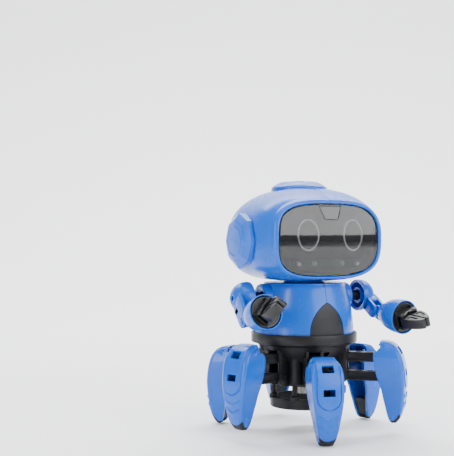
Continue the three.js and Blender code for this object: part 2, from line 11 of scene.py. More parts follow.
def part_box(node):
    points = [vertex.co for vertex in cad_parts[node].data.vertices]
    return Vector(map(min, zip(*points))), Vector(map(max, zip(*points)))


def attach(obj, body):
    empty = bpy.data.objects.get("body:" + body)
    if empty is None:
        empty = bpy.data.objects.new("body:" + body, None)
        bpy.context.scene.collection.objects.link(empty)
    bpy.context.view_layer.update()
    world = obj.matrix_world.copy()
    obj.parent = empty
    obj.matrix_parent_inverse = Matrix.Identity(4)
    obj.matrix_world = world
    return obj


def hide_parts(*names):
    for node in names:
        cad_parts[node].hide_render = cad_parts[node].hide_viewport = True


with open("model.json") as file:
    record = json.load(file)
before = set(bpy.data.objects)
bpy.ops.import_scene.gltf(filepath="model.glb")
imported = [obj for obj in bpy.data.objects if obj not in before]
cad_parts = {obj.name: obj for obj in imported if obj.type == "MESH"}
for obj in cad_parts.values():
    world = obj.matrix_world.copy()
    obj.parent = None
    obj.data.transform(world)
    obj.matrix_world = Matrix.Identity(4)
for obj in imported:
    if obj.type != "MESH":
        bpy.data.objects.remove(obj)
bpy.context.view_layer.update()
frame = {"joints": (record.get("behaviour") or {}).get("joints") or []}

MM = 0.001
JOINTS = {j["name"]: j for j in frame["joints"]}
SIDES = (("left", 1), ("right", -1))
LEG_NAMES = "abcdef"


# ------------------------------------------------------------------ mesh helpers
def new_object(name, verts, faces):
    """Mesh object from points in millimetres."""
    mesh = bpy.data.meshes.new(name)
    mesh.from_pydata([tuple(np.array(v, float) * MM) for v in verts], [], [tuple(f) for f in faces])
    mesh.validate()
    mesh.update()
    obj = bpy.data.objects.new(name, mesh)
    bpy.context.scene.collection.objects.link(obj)
    return obj


def clean(obj, distance=0.02):
    """Merge doubled points and turn the faces outward."""
    bm = bmesh.new()
    bm.from_mesh(obj.data)
    bmesh.ops.remove_doubles(bm, verts=bm.verts, dist=distance * MM)
    bmesh.ops.recalc_face_normals(bm, faces=bm.faces)
    bm.to_mesh(obj.data)
    bm.free()
    return obj


def bake_modifiers(obj):
    graph = bpy.context.evaluated_depsgraph_get()
    mesh = bpy.data.meshes.new_from_object(obj.evaluated_get(graph))
    obj.modifiers.clear()
    obj.data = mesh
    return obj


def smooth(obj, angle=35):
    for polygon in obj.data.polygons:
        polygon.use_smooth = True
    obj.data.set_sharp_from_angle(angle=math.radians(angle))
    return obj


def bevel(obj, width, segments=2, angle=35):
    modifier = obj.modifiers.new("edge", "BEVEL")
    modifier.width = width * MM
    modifier.segments = segments
    modifier.limit_method = "ANGLE"
    modifier.angle_limit = math.radians(angle)
    modifier.use_clamp_overlap = True
    modifier.harden_normals = False
    return bake_modifiers(obj)


def thicken(obj, thickness):
    modifier = obj.modifiers.new("wall", "SOLIDIFY")
    modifier.thickness = thickness * MM
    modifier.offset = -1
    modifier.use_even_offset = False
    return bake_modifiers(obj)


def boolean(obj, tool, operation="DIFFERENCE", tolerant=False):
    modifier = obj.modifiers.new("cut", "BOOLEAN")
    modifier.operation = operation
    modifier.solver = "EXACT"
    modifier.use_self = tolerant
    modifier.use_hole_tolerant = tolerant
    modifier.object = tool
    bpy.context.view_layer.update()
    bake_modifiers(obj)
    bpy.data.objects.remove(tool)
    return obj


def merge(first, *others):
    """One object holding several separate closed meshes."""
    bm = bmesh.new()
    for obj in (first, *others):
        bm.from_mesh(obj.data)
    bm.to_mesh(first.data)
    bm.free()
    for obj in others:
        bpy.data.objects.remove(obj)
    return first


def transformed(obj, matrix):
    """Apply a matrix whose translation is in millimetres."""
    scaled = matrix.copy()
    scaled.translation = matrix.translation * MM
    obj.data.transform(scaled)
    if matrix.determinant() < 0:
        obj.data.flip_normals()
    return obj


def copy_of(obj, name):
    twin = obj.copy()
    twin.data = obj.data.copy()
    twin.name = name
    bpy.context.scene.collection.objects.link(twin)
    return twin


def grid_faces(rows, columns, wrap=False, keep=None):
    faces = []
    for i in range(rows - 1):
        for j in range(columns if wrap else columns - 1):
            k = (j + 1) % columns
            if keep is None or keep(i, j):
                faces.append((i * columns + j, i * columns + k, (i + 1) * columns + k, (i + 1) * columns + j))
    return faces


def lathe(name, profile, segments=64, axis="Z", at=(0, 0, 0)):
    """Closed turned piece from (radius, height) points; a point on the axis closes an end."""
    verts, faces, rings = [], [], []
    for radius, height in profile:
        if radius < 1e-6:
            rings.append([len(verts)])
            verts.append((0, 0, height))
            continue
        rings.append(list(range(len(verts), len(verts) + segments)))
        for k in range(segments):
            turn = 2 * math.pi * k / segments
            verts.append((radius * math.cos(turn), radius * math.sin(turn), height))
    pairs = list(zip(rings, rings[1:]))
    if profile[0][0] > 1e-6:
        pairs.append((rings[-1], rings[0]))
    for low, high in pairs:
        for k in range(segments):
            n = (k + 1) % segments
            ring = [low[k % len(low)], low[n % len(low)], high[n % len(high)], high[k % len(high)]]
            face = list(dict.fromkeys(ring))
            if len(face) > 2:
                faces.append(face)
    obj = new_object(name, verts, faces)
    if axis == "X":
        transformed(obj, Matrix.Rotation(math.radians(90), 4, "Y"))
    if axis == "Y":
        transformed(obj, Matrix.Rotation(math.radians(-90), 4, "X"))
    return clean(transformed(obj, Matrix.Translation(at)))


def cylinder(name, start, end, radius, segments=32):
    start, end = Vector(start), Vector(end)
    obj = lathe(name, [(0, 0), (radius, 0), (radius, (end - start).length), (0, (end - start).length)],
                segments)
    turn = (end - start).to_track_quat("Z", "Y").to_matrix().to_4x4()
    return transformed(obj, Matrix.Translation(start) @ turn)


def cuboid(name, low, high):
    (x0, y0, z0), (x1, y1, z1) = low, high
    verts = [(x, y, z) for x in (x0, x1) for y in (y0, y1) for z in (z0, z1)]
    faces = [(0, 1, 3, 2), (4, 6, 7, 5), (0, 4, 5, 1), (2, 3, 7, 6), (0, 2, 6, 4), (1, 5, 7, 3)]
    return clean(new_object(name, verts, faces))


def prism(name, outline, low, high, plane="XZ"):
    """Straight extrusion of an outline; plane XZ runs along Y, plane XY along Z, plane YZ along X."""
    def place(a, b, depth):
        return {"XZ": (a, depth, b), "XY": (a, b, depth), "YZ": (depth, a, b)}[plane]
    count = len(outline)
    verts = [place(a, b, low) for a, b in outline] + [place(a, b, high) for a, b in outline]
    faces = [tuple(range(count)), tuple(range(2 * count - 1, count - 1, -1))]
    faces += [(k, (k + 1) % count, count + (k + 1) % count, count + k) for k in range(count)]
    return clean(new_object(name, verts, faces), 0.001)


def arc(centre, radius, start, stop, count):
    return [(centre[0] + radius * math.cos(t), centre[1] + radius * math.sin(t))
            for t in np.radians(np.linspace(start, stop, count))]


def rounded_box(name, low, high, radius=0.5, segments=2):
    return bevel(cuboid(name, low, high), radius, segments, 60)


def spline(points, count):
    """Smooth curve through a few points (Catmull-Rom), evenly spaced along its length."""
    p = np.array(points, float)
    p = np.vstack([2 * p[0] - p[1], p, 2 * p[-1] - p[-2]])
    dense = []
    for i in range(1, len(p) - 2):
        for t in np.linspace(0, 1, 24, endpoint=False):
            a, b, c, d = p[i - 1], p[i], p[i + 1], p[i + 2]
            dense.append(0.5 * (2 * b + (c - a) * t + (2 * a - 5 * b + 4 * c - d) * t ** 2
                                + (3 * b - a - 3 * c + d) * t ** 3))
    dense.append(p[-2])
    dense = np.array(dense)
    length = np.concatenate([[0], np.cumsum(np.linalg.norm(np.diff(dense, axis=0), axis=1))])
    even = np.linspace(0, length[-1], count)
    return np.stack([np.interp(even, length, dense[:, k]) for k in range(p.shape[1])], 1)


def finish_piece(obj, material, body, slot_name, *nodes):
    """Material, body and the CAD nodes that the piece stands for; the slot name is not used."""
    obj.data.materials.clear()
    obj.data.materials.append(material)
    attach(obj, body)
    if nodes:
        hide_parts(*nodes)
    return obj


# ------------------------------------------------------------------ materials
def plastic(name, color, rough, variation=0.06, grain=900, bump=0.02, scratch=0.05, coat=0.0, **extra):
    """Moulded plastic: cloudy colour variation, uneven gloss, fine grain and faint handling scuffs."""
    material = bpy.data.materials.new(name)
    material.use_nodes = True
    nodes, links = material.node_tree.nodes, material.node_tree.links
    shader = nodes["Principled BSDF"]
    place = nodes.new("ShaderNodeTexCoord")

    def noise(scale, detail=3, stretch=None):
        texture = nodes.new("ShaderNodeTexNoise")
        texture.inputs["Scale"].default_value = scale
        texture.inputs["Detail"].default_value = detail
        source = place.outputs["Object"]
        if stretch:
            mapping = nodes.new("ShaderNodeMapping")
            mapping.inputs["Scale"].default_value = stretch
            links.new(source, mapping.inputs["Vector"])
            source = mapping.outputs["Vector"]
        links.new(source, texture.inputs["Vector"])
        return texture.outputs["Fac"]

    def ramp(source, low, high, value_low, value_high):
        node = nodes.new("ShaderNodeMapRange")
        node.inputs["From Min"].default_value = low
        node.inputs["From Max"].default_value = high
        node.inputs["To Min"].default_value = value_low
        node.inputs["To Max"].default_value = value_high
        links.new(source, node.inputs["Value"])
        return node.outputs["Result"]

    def blend(factor, first, second):
        node = nodes.new("ShaderNodeMix")
        node.data_type = "RGBA"
        links.new(factor, node.inputs["Factor"])
        for socket, value in (("A", first), ("B", second)):
            target = [i for i in node.inputs if i.name == socket and i.type == "RGBA"][0]
            if isinstance(value, tuple):
                target.default_value = value
            else:
                links.new(value, target)
        return [o for o in node.outputs if o.type == "RGBA"][0]

    dark = tuple(c * (1 - variation) for c in color) + (1,)
    light = tuple(min(1, c * (1 + variation) + 0.01 * variation) for c in color) + (1,)
    scuffed = tuple(c * 1.25 + 0.03 for c in color) + (1,)
    body = blend(ramp(noise(55), 0.35, 0.65, 0, 1), dark, light)
    marks = ramp(noise(260, 6, (1, 1, 0.15)), 0.66, 0.78, 0, scratch)
    geometry = nodes.new("ShaderNodeNewGeometry")
    edge = ramp(geometry.outputs["Pointiness"], 0.53, 0.62, 0, 0.35 * scratch / 0.05 * 0.5)
    body = blend(marks, body, scuffed)
    body = blend(edge, body, scuffed)
    links.new(body, shader.inputs["Base Color"])

    uneven = nodes.new("ShaderNodeMath")
    uneven.operation = "ADD"
    links.new(ramp(noise(120, 4), 0.3, 0.7, rough * 0.85, rough * 1.2), uneven.inputs[0])
    links.new(ramp(marks, 0, max(scratch, 1e-3), 0, 0.12), uneven.inputs[1])
    links.new(uneven.outputs[0], shader.inputs["Roughness"])

    relief = nodes.new("ShaderNodeBump")
    relief.inputs["Strength"].default_value = bump
    relief.inputs["Distance"].default_value = 0.0004
    links.new(noise(grain, 2), relief.inputs["Height"])
    if bump:
        links.new(relief.outputs["Normal"], shader.inputs["Normal"])
    shader.inputs["Coat Weight"].default_value = coat
    shader.inputs["Coat Roughness"].default_value = 0.06
    for socket, value in extra.items():
        shader.inputs[socket.replace("_", " ")].default_value = value
    return material


BLUE = plastic("blue_gloss", (0.0, 0.095, 0.52), 0.24, 0.05, 1400, 0.03, 0.003, 0.0, Specular_IOR_Level=0.32)
BLACK = plastic("black_satin", (0.006, 0.006, 0.008), 0.42, 0.25, 2600, 0.08, 0.03, 0.0,
                Specular_IOR_Level=0.25)
BELLY = plastic("belly_black", (0.008, 0.009, 0.013), 0.42, 0.2, 3000, 0.08, 0.03, 0.0,
                Specular_IOR_Level=0.3)
CLAW = plastic("claw_black", (0.008, 0.008, 0.009), 0.33, 0.25, 2200, 0.08, 0.04, 0.0,
               Specular_IOR_Level=0.35)
RUBBER = plastic("foot_rubber", (0.008, 0.011, 0.016), 0.55, 0.2, 1800, 0.15, 0.04, 0.0,
                 Specular_IOR_Level=0.25)
SMOKE = plastic("visor_smoke", (0.30, 0.31, 0.32), 0.05, 0.03, 500, 0.0, 0.0,
                Transmission_Weight=1.0, IOR=1.49)
WINDOW = plastic("window_smoke", (0.055, 0.056, 0.060), 0.16, 0.05, 700, 0.02, 0.01)
PLATE = plastic("plate_grey", (0.045, 0.048, 0.052), 0.5, 0.1, 1500, 0.08, 0.02)
EYE = plastic("eye_light", (0.66, 0.70, 0.72), 0.35, 0.03, 800, 0.02, 0.02)
DIODE = plastic("diode_clear", (0.55, 0.56, 0.60), 0.15, 0.05, 600, 0.02, 0.02)
BOARD = plastic("board_green", (0.015, 0.10, 0.045), 0.35, 0.15, 1600, 0.1, 0.04)
STEEL = plastic("motor_steel", (0.55, 0.56, 0.57), 0.28, 0.1, 1200, 0.1, 0.2, Metallic=1.0)
IVORY = plastic("gear_ivory", (0.74, 0.72, 0.63), 0.38, 0.05, 1500, 0.08, 0.05)


# ------------------------------------------------------------------ head
HEAD = {"z": 121.5, "a": 43.5, "front": 40.5, "back": 40.0, "c": 29.0, "plan": 3.1, "up": 2.2, "low": 3.5}
VISOR = {"z": 117.9, "a": 34.2, "c": 21.7, "power": 3.3, "front": 34.8,
         "sag_x": 3.1, "sag_top": 2.9, "sag_bottom": 4.1}


def head_level(p):
    """Implicit head surface: 1 on the surface, in millimetres, for an array of points."""
    depth = np.where(p[..., 1] < 0, HEAD["front"], HEAD["back"])
    rise = p[..., 2] - HEAD["z"]
    power = np.where(rise > 0, HEAD["up"], HEAD["low"])
    plan = np.abs(p[..., 0] / HEAD["a"]) ** HEAD["plan"] + np.abs(p[..., 1] / depth) ** HEAD["plan"]
    total = plan ** (power / HEAD["plan"]) + np.abs(rise / HEAD["c"]) ** power
    return total ** (1 / power)


def head_point(direction):
    """Surface point in a direction from the head's middle."""
    centre = np.array([0, 0, HEAD["z"]])
    return centre + direction / head_level(centre + direction)[..., None]


def head_normal(p):
    step = 0.05
    gradient = np.stack([
        head_level(p + step * e) - head_level(p - step * e) for e in np.eye(3)], -1)
    return gradient / np.linalg.norm(gradient, axis=-1, keepdims=True)


def head_depth(x, z):
    """Distance of the face in front of the axis at a point of the visor's outline."""
    rise = z - HEAD["z"]
    power = np.where(rise > 0, HEAD["up"], HEAD["low"])
    plan = (1 - np.abs(rise / HEAD["c"]) ** power) ** (HEAD["plan"] / power)
    return HEAD["front"] * np.maximum(plan - np.abs(x / HEAD["a"]) ** HEAD["plan"], 0) ** (1 / HEAD["plan"])


def visor_outline(theta, grow=0.0):
    c, s = np.cos(theta), np.sin(theta)
    k = 2 / VISOR["power"]
    x = (VISOR["a"] + grow) * np.sign(c) * np.abs(c) ** k
    z = (VISOR["c"] + grow) * np.sign(s) * np.abs(s) ** k
    return x, VISOR["z"] + z


def visor_depth(x, z):
    rise = (z - VISOR["z"]) / VISOR["c"]
    sag = np.where(rise > 0, VISOR["sag_top"], VISOR["sag_bottom"])
    return VISOR["front"] - VISOR["sag_x"] * (x / VISOR["a"]) ** 2 - sag * rise ** 2


# How the rolled rim stands over the head around the visor: (distance from the edge, height)
RIM_ROLL = [(-0.1, -4.2), (0.0, -1.6), (0.05, -0.9), (0.25, -0.25), (0.7, 0.25), (1.3, 0.55), (2.0, 0.72),
            (2.8, 0.70), (3.6, 0.50), (4.4, 0.22), (5.2, 0.05), (6.0, 0.0)]


def head_half(sign):
    columns = 97
    theta = np.linspace(-math.pi / 2, math.pi / 2, columns)
    x, z = visor_outline(theta, 0.25)
    edge = np.stack([np.abs(x), -head_depth(x, z), z], -1)
    centre = np.array([0, 0, HEAD["z"]])
    start = (edge - centre) / np.linalg.norm(edge - centre, axis=1, keepdims=True)
    back = np.array([0.0, 1.0, 0.0])
    swing = np.arccos(np.clip(start @ back, -1, 1))[:, None]
    rows = []
    share = np.linspace(0, 1, 200)
    paths = []
    for t in share:
        direction = (np.sin((1 - t) * swing) * start + np.sin(t * swing) * back) / np.sin(swing)
        paths.append(head_point(direction))
    paths = np.array(paths)
    steps = np.linalg.norm(np.diff(paths, axis=0), axis=2)
    length = np.vstack([np.zeros(columns), np.cumsum(steps, axis=0)])
    far = 6.0 + (np.linspace(0, 1, 58)[1:] ** 1.05) * (length[-1][:, None] - 6.0).T[:, :].T
    stations = [(np.full(columns, u), h) for u, h in RIM_ROLL] + [(far[:, k],
                                                                   0.0) for k in range(far.shape[1])]
    for distance, height in stations:
        point = np.stack([
            [np.interp(distance[c], length[:, c],
                       paths[:, c, k]) for c in range(columns)] for k in range(3)], -1)
        normal = head_normal(point)
        if height < 0:
            normal = 0.25 * normal + 0.75 * np.array([0, -1.0, 0])
            normal /= np.linalg.norm(normal, axis=1, keepdims=True)
        rows.append(point + height * normal)
    rows = np.array(rows)
    rows[..., 0] = sign * (np.abs(rows[..., 0]) + 0.11)
    obj = new_object("head_half", rows.reshape(-1, 3), grid_faces(len(rows), columns))
    clean(obj)
    if obj.data.polygons[len(obj.data.polygons) // 2].normal.dot(
            obj.data.polygons[len(obj.data.polygons) // 2].center - Vector((0, 0, HEAD["z"] * MM))) < 0:
        obj.data.flip_normals()
    return thicken(obj, 2.0)


def neck_cutter():
    return cylinder("neck_cut", (0, 0, HEAD["z"] - 40), (0, 0, HEAD["z"] - 20), 14)


EAR = {"z": 117.3, "radius": 17.0, "reach": 48.5}
CAP = {"y": 6.0, "radius": 17.6, "top": 154.3}


def ear_outline(turn, radius):
    """Octagon with softened corners and a flat at the front."""
    facet = math.pi / 8
    local = turn % (2 * facet) - facet
    return radius * (0.12 + 0.88 * math.cos(facet) / math.cos(local))


def ear_cap(sign):
    """Raised octagonal cap: upright rim, wide chamfer facets, shallow ring on the flat top."""
    columns = 144
    base, reach = 42.4, EAR["reach"]
    # (radius share, height above the head's middle plane)
    levels = [(1.0, base - 1.5), (1.0, 44.6), (0.992, 45.0), (0.97, 45.3), (0.80, 47.45), (0.775, 47.75),
              (0.75, 47.9),
              (0.70, 48.05), (0.58, 48.2), (0.565, 48.05), (0.55, 47.95), (0.535, 48.05), (0.52, 48.25)]
    levels += [(r, reach - 0.25 * (r / 0.52) ** 2) for r in np.linspace(0.5, 0.02, 16)]
    rows = []
    for share, height in levels:
        ring = []
        for k in range(columns):
            turn = 2 * math.pi * k / columns
            radius = ear_outline(turn, EAR["radius"]) * share
            ring.append((sign * height, radius * math.cos(turn), EAR["z"] + radius * math.sin(turn)))
        rows.append(ring)
    verts = [p for ring in rows for p in ring]
    faces = grid_faces(len(rows), columns, wrap=True)
    tip = len(verts)
    verts.append((sign * reach, 0, EAR["z"]))
    last = (len(rows) - 1) * columns
    faces += [(last + k, last + (k + 1) % columns, tip) for k in range(columns)]
    faces.append(tuple(range(columns)))
    return smooth(clean(new_object("ear", verts, faces)), 18)


def ear_groove(sign):
    """Cutter that sinks a seat into the head's side, wider than the cap by a hair."""
    return cylinder("ear_cut", (sign * 41.6, 0, EAR["z"]), (sign * 60, 0, EAR["z"]), EAR["radius"] + 0.55, 96)


def head_cap():
    """Low crown cap whose skirt follows the head's top."""
    columns = 128
    levels = []
    def skirt(radius):
        turn = np.linspace(0, 2 * math.pi, columns, endpoint=False)
        x, y = radius * np.cos(turn), CAP["y"] + radius * np.sin(turn)
        depth = np.where(y < 0, HEAD["front"], HEAD["back"])
        plan = np.abs(x / HEAD["a"]) ** HEAD["plan"] + np.abs(y / depth) ** HEAD["plan"]
        rise = (1 - plan ** (HEAD["up"] / HEAD["plan"])) ** (1 / HEAD["up"])
        return np.stack([x, y, HEAD["z"] + HEAD["c"] * rise], 1)
    low = skirt(CAP["radius"] - 0.35)
    low[:, 2] -= 1.2
    levels.append(low)
    foot = skirt(CAP["radius"])
    foot[:, 2] += 0.02
    levels.append(foot)
    top = CAP["top"]
    for radius, z in ((17.55, top - 4.0), (17.3, top - 3.5), (16.7, top - 2.95), (15.4, top - 2.1),
                      (13.9, top - 1.2),
                      (12.7, top - 0.55), (11.8, top - 0.18), (10.8, top), (9.4, top), (9.2, top - 0.12),
                      (9.0, top - 0.3), (8.7, top - 0.34), (6.0, top - 0.3), (5.6, top - 0.24), (5.2, top - 0.06), (4.9, top),
                      (4.2, top), (4.0, top - 0.15), (3.9, top - 0.5), (3.9, 150.6)):
        turn = np.linspace(0, 2 * math.pi, columns, endpoint=False)
        levels.append(np.stack([radius * np.cos(turn), CAP["y"] + radius * np.sin(turn),
                                np.full(columns, z)], 1))
    verts = np.array(levels).reshape(-1, 3)
    faces = grid_faces(len(levels), columns, wrap=True)
    last = (len(levels) - 1) * columns
    faces += [(last + k, last + (k + 1) % columns, (k + 1) % columns, k) for k in range(columns)]
    return smooth(clean(new_object("head_cap_shell", verts, faces)), 40)


def visor_sheet(grow=0.0, thickness=1.2):
    rings = [0.0] + list(np.linspace(0.06, 1.0, 26))
    columns = 128
    theta = np.linspace(0, 2 * math.pi, columns, endpoint=False)
    verts, faces = [(0, -VISOR["front"], VISOR["z"])], []
    for share in rings[1:]:
        x, z = visor_outline(theta, grow)
        x, z = x * share, VISOR["z"] + (z - VISOR["z"]) * share
        verts += list(np.stack([x, -visor_depth(x, z), z], 1))
    faces += [(0, 1 + (k + 1) % columns, 1 + k) for k in range(columns)]
    for r in range(len(rings) - 2):
        low, high = 1 + r * columns, 1 + (r + 1) * columns
        faces += [(low + k, low + (k + 1) % columns, high + (k + 1) % columns,
                   high + k) for k in range(columns)]
    obj = new_object("visor_sheet", verts, faces)
    clean(obj)
    if obj.data.polygons[0].normal.y > 0:
        obj.data.flip_normals()
    return thicken(obj, thickness)


def trapezoid(grow):
    return [(-7.3 - grow, 138 + grow), (-4.3 - grow, 130.2 - grow), (4.3 + grow, 130.2 - grow),
            (7.3 + grow, 138 + grow)]


def build_head():
    for side, sign in SIDES:
        half = head_half(sign)
        half.name = f"head_half_{side}"
        boolean(half, neck_cutter())
        boolean(half, ear_groove(sign))
        boolean(half, cylinder("cap_cut", (0, CAP["y"], 140), (0, CAP["y"], 160), 5.2, 48))
        clean(half, 0.01)
        bevel(half, 0.22, 2, 50)
        smooth(half, 40)
        finish_piece(half, BLUE, "head", "blue_gloss", f"head_shell_{side}")

        ear = ear_cap(sign)
        ear.name = f"ear_{side}"
        finish_piece(ear, BLUE, "head", "blue_gloss", f"ear_cap_{side}")

        finish_piece(eye_ring(side, sign), EYE, "head", "eye_light", f"eye_ring_{side}")

    cap = head_cap()
    finish_piece(cap, BLUE, "head", "blue_gloss", "head_cap")
    button = lathe("mode_button_cap", [
        (0, 151.6), (3.5, 151.6), (3.6, 151.8), (3.6, 154.4), (3.5, 154.75), (3.2, 154.95), (2.4, 155.0), (1.6, 154.9), (0, 154.85),
    ], 48, at=(0, CAP["y"], 0))
    finish_piece(smooth(button, 50), BLACK, "mode_button", "black_satin", "mode_button")

    pane = visor_sheet(-0.25)
    boolean(pane, prism("window_cut", trapezoid(0.28), -60, -20))
    boolean(pane, cylinder("microphone_cut", (0, -60, 111.2), (0, -20, 111.2), 0.45, 16))
    bevel(pane, 0.15, 2, 50)
    pane.name = "visor_pane"
    finish_piece(smooth(pane, 40), SMOKE, "head", "visor_smoke", "visor")
    window = visor_sheet(-0.25)
    boolean(window, prism("window_keep", trapezoid(-0.05), -60, -20), "INTERSECT")
    bevel(window, 0.15, 2, 50)
    window.name = "window_pane"
    finish_piece(smooth(window, 40), WINDOW, "head", "window_smoke", "sensor_window")

    finish_piece(face_plate(), PLATE, "head", "black_satin", "face_plate")
    build_diodes()
    build_board()


def eye_ring(side, sign, columns=96):
    """Flat oval ring lying just behind the visor."""
    x0, z0, wide, tall, stroke = sign * 15.3, 120.9, 6.6, 9.0, 0.52
    levels = []
    for grow, lift in ((stroke, 0.0), (stroke, 0.5), (stroke - 0.15, 0.65), (0.15 - stroke, 0.65),
                       (-stroke, 0.5), (-stroke, 0.0)):
        ring = []
        for k in range(columns):
            turn = 2 * math.pi * k / columns
            x = x0 + (wide + grow) * math.cos(turn)
            z = z0 + (tall + grow) * math.sin(turn)
            ring.append((x, 1.75 - visor_depth(x, z) - lift, z))
        levels.append(ring)
    verts = [p for ring in levels for p in ring]
    faces = grid_faces(len(levels), columns, wrap=True)
    last = (len(levels) - 1) * columns
    faces += [(last + k, last + (k + 1) % columns, (k + 1) % columns, k) for k in range(columns)]
    return smooth(clean(new_object(f"eye_glow_{side}", verts, faces)), 50)


def face_plate():
    """Carrier behind the visor: a dished plate."""
    columns = 96
    theta = np.linspace(0, 2 * math.pi, columns, endpoint=False)
    verts, faces = [], []
    levels = [(0.985, 0.0), (0.985, -1.0), (0.95, -1.3),
              (0.88, -0.2)] + [(s, 0.0) for s in np.linspace(0.82, 0.03, 12)]
    for share, lift in levels:
        x, z = visor_outline(theta, -0.8)
        x, z = x * share, VISOR["z"] + (z - VISOR["z"]) * share
        verts += list(np.stack([x, -27.4 + lift + 0 * x, z], 1))
    faces = grid_faces(len(levels), columns, wrap=True)
    last = (len(levels) - 1) * columns
    faces.append(tuple(last + k for k in range(columns)))
    plate = new_object("carrier_plate", verts, faces)
    clean(plate)
    if plate.data.polygons[-1].normal.y > 0:
        plate.data.flip_normals()
    return smooth(thicken(plate, 1.0), 40)


def build_diodes():
    """Strip board with four domed infrared diodes."""
    strip = rounded_box("diode_strip", (-24, -29.3, 101.8), (24, -28.2, 106.2), 0.3)
    pads = []
    for x in (-20, -9.4, 9.4, 20):
        dome = lathe("dome", [(0, 0), (1.7, 0), (1.7, 0.5), (1.5, 0.5), (1.5, 1.0), (1.35, 1.35),
                              (0.9, 1.65), (0, 1.75)], 28)
        pads.append(transformed(dome, Matrix.Translation((x, -29.3,
                                                          104)) @ Matrix.Rotation(math.radians(90), 4, "X")))
    domes = merge(pads[0], *pads[1:])
    domes.name = "diode_domes"
    finish_piece(smooth(strip), BOARD, "head", "board_green", "ir_led_board")
    finish_piece(smooth(domes, 50), DIODE, "head", "eye_light")


def build_board():
    """Main board inside the head, with a few chips."""
    low, high = (Vector(c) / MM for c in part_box("circuit_board"))
    base = rounded_box("main_board", low, high, 0.3)
    chips = [rounded_box("chip", (x, low.y - 1.2, z), (x + w, low.y - 0.05, z + h), 0.25)
             for x, z, w, h in ((-20, 110, 9, 9), (-4, 118, 12, 5), (12, 108, 7, 11), (-18, 126, 5, 5))]
    parts = merge(chips[0], *chips[1:])
    parts.name = "board_chips"
    finish_piece(smooth(base), BOARD, "head", "board_green", "circuit_board")
    finish_piece(smooth(parts), BLACK, "head", "black_satin")


# ------------------------------------------------------------------ torso
TORSO_SIDE = [(30.9, 56.8), (30.85, 60), (30.6, 66), (30.0, 72), (28.9, 78.5), (27.2, 85), (25.9, 89),
              (24.9, 91.0)]
TORSO_TOP = 91.6
ARCH = {"half": 11.45, "apex": 80.2}


def torso_profile(count=60):
    side = [tuple(p) for p in spline(TORSO_SIDE, count)]
    return side + arc((24.3, TORSO_TOP - 0.6), 0.6, 15, 90, 5)


def torso_half(sign):
    """Half of the barrel with its deck and neck tube, cut on the middle plane."""
    outer = torso_profile() + [(14, TORSO_TOP), (12.9, TORSO_TOP), (12.4, TORSO_TOP + 0.5), (12.4, 98)]
    inner = [(10.4, 98), (10.4, 89.6), (22.9, 89.6)] + [(r - 2.0, min(z, 89.4)) for r,
                                                        z in reversed(TORSO_SIDE[:-1])]
    loop = outer + inner
    columns = 73
    verts = []
    for radius, z in loop:
        for turn in np.linspace(-math.pi / 2, math.pi / 2, columns):
            verts.append((sign * (radius * math.cos(turn) + 0.11), radius * math.sin(turn), z))
    faces = grid_faces(len(loop), columns)
    last = (len(loop) - 1) * columns
    faces += [(last + j, last + j + 1, j + 1, j) for j in range(columns - 1)]
    faces.append([i * columns for i in range(len(loop))])
    faces.append([i * columns + columns - 1 for i in reversed(range(len(loop)))])
    return clean(new_object("torso_half", verts, faces), 0.005)


def belly_arch(grow, count=26):
    """Pointed arch: straight foot, then sides that curve in to a soft point."""
    half, apex, foot = ARCH["half"] + grow, ARCH["apex"] + grow, 55.0
    right = []
    for t in np.linspace(0, 1, count):
        rise = t
        right.append((half * (1 - rise ** 2.35) ** 0.86, 61.0 + (apex - 61.0) * rise))
    right = [(half * 1.01, foot), *right]
    left = [(-x, z) for x, z in reversed(right[:-1])]
    return right + left


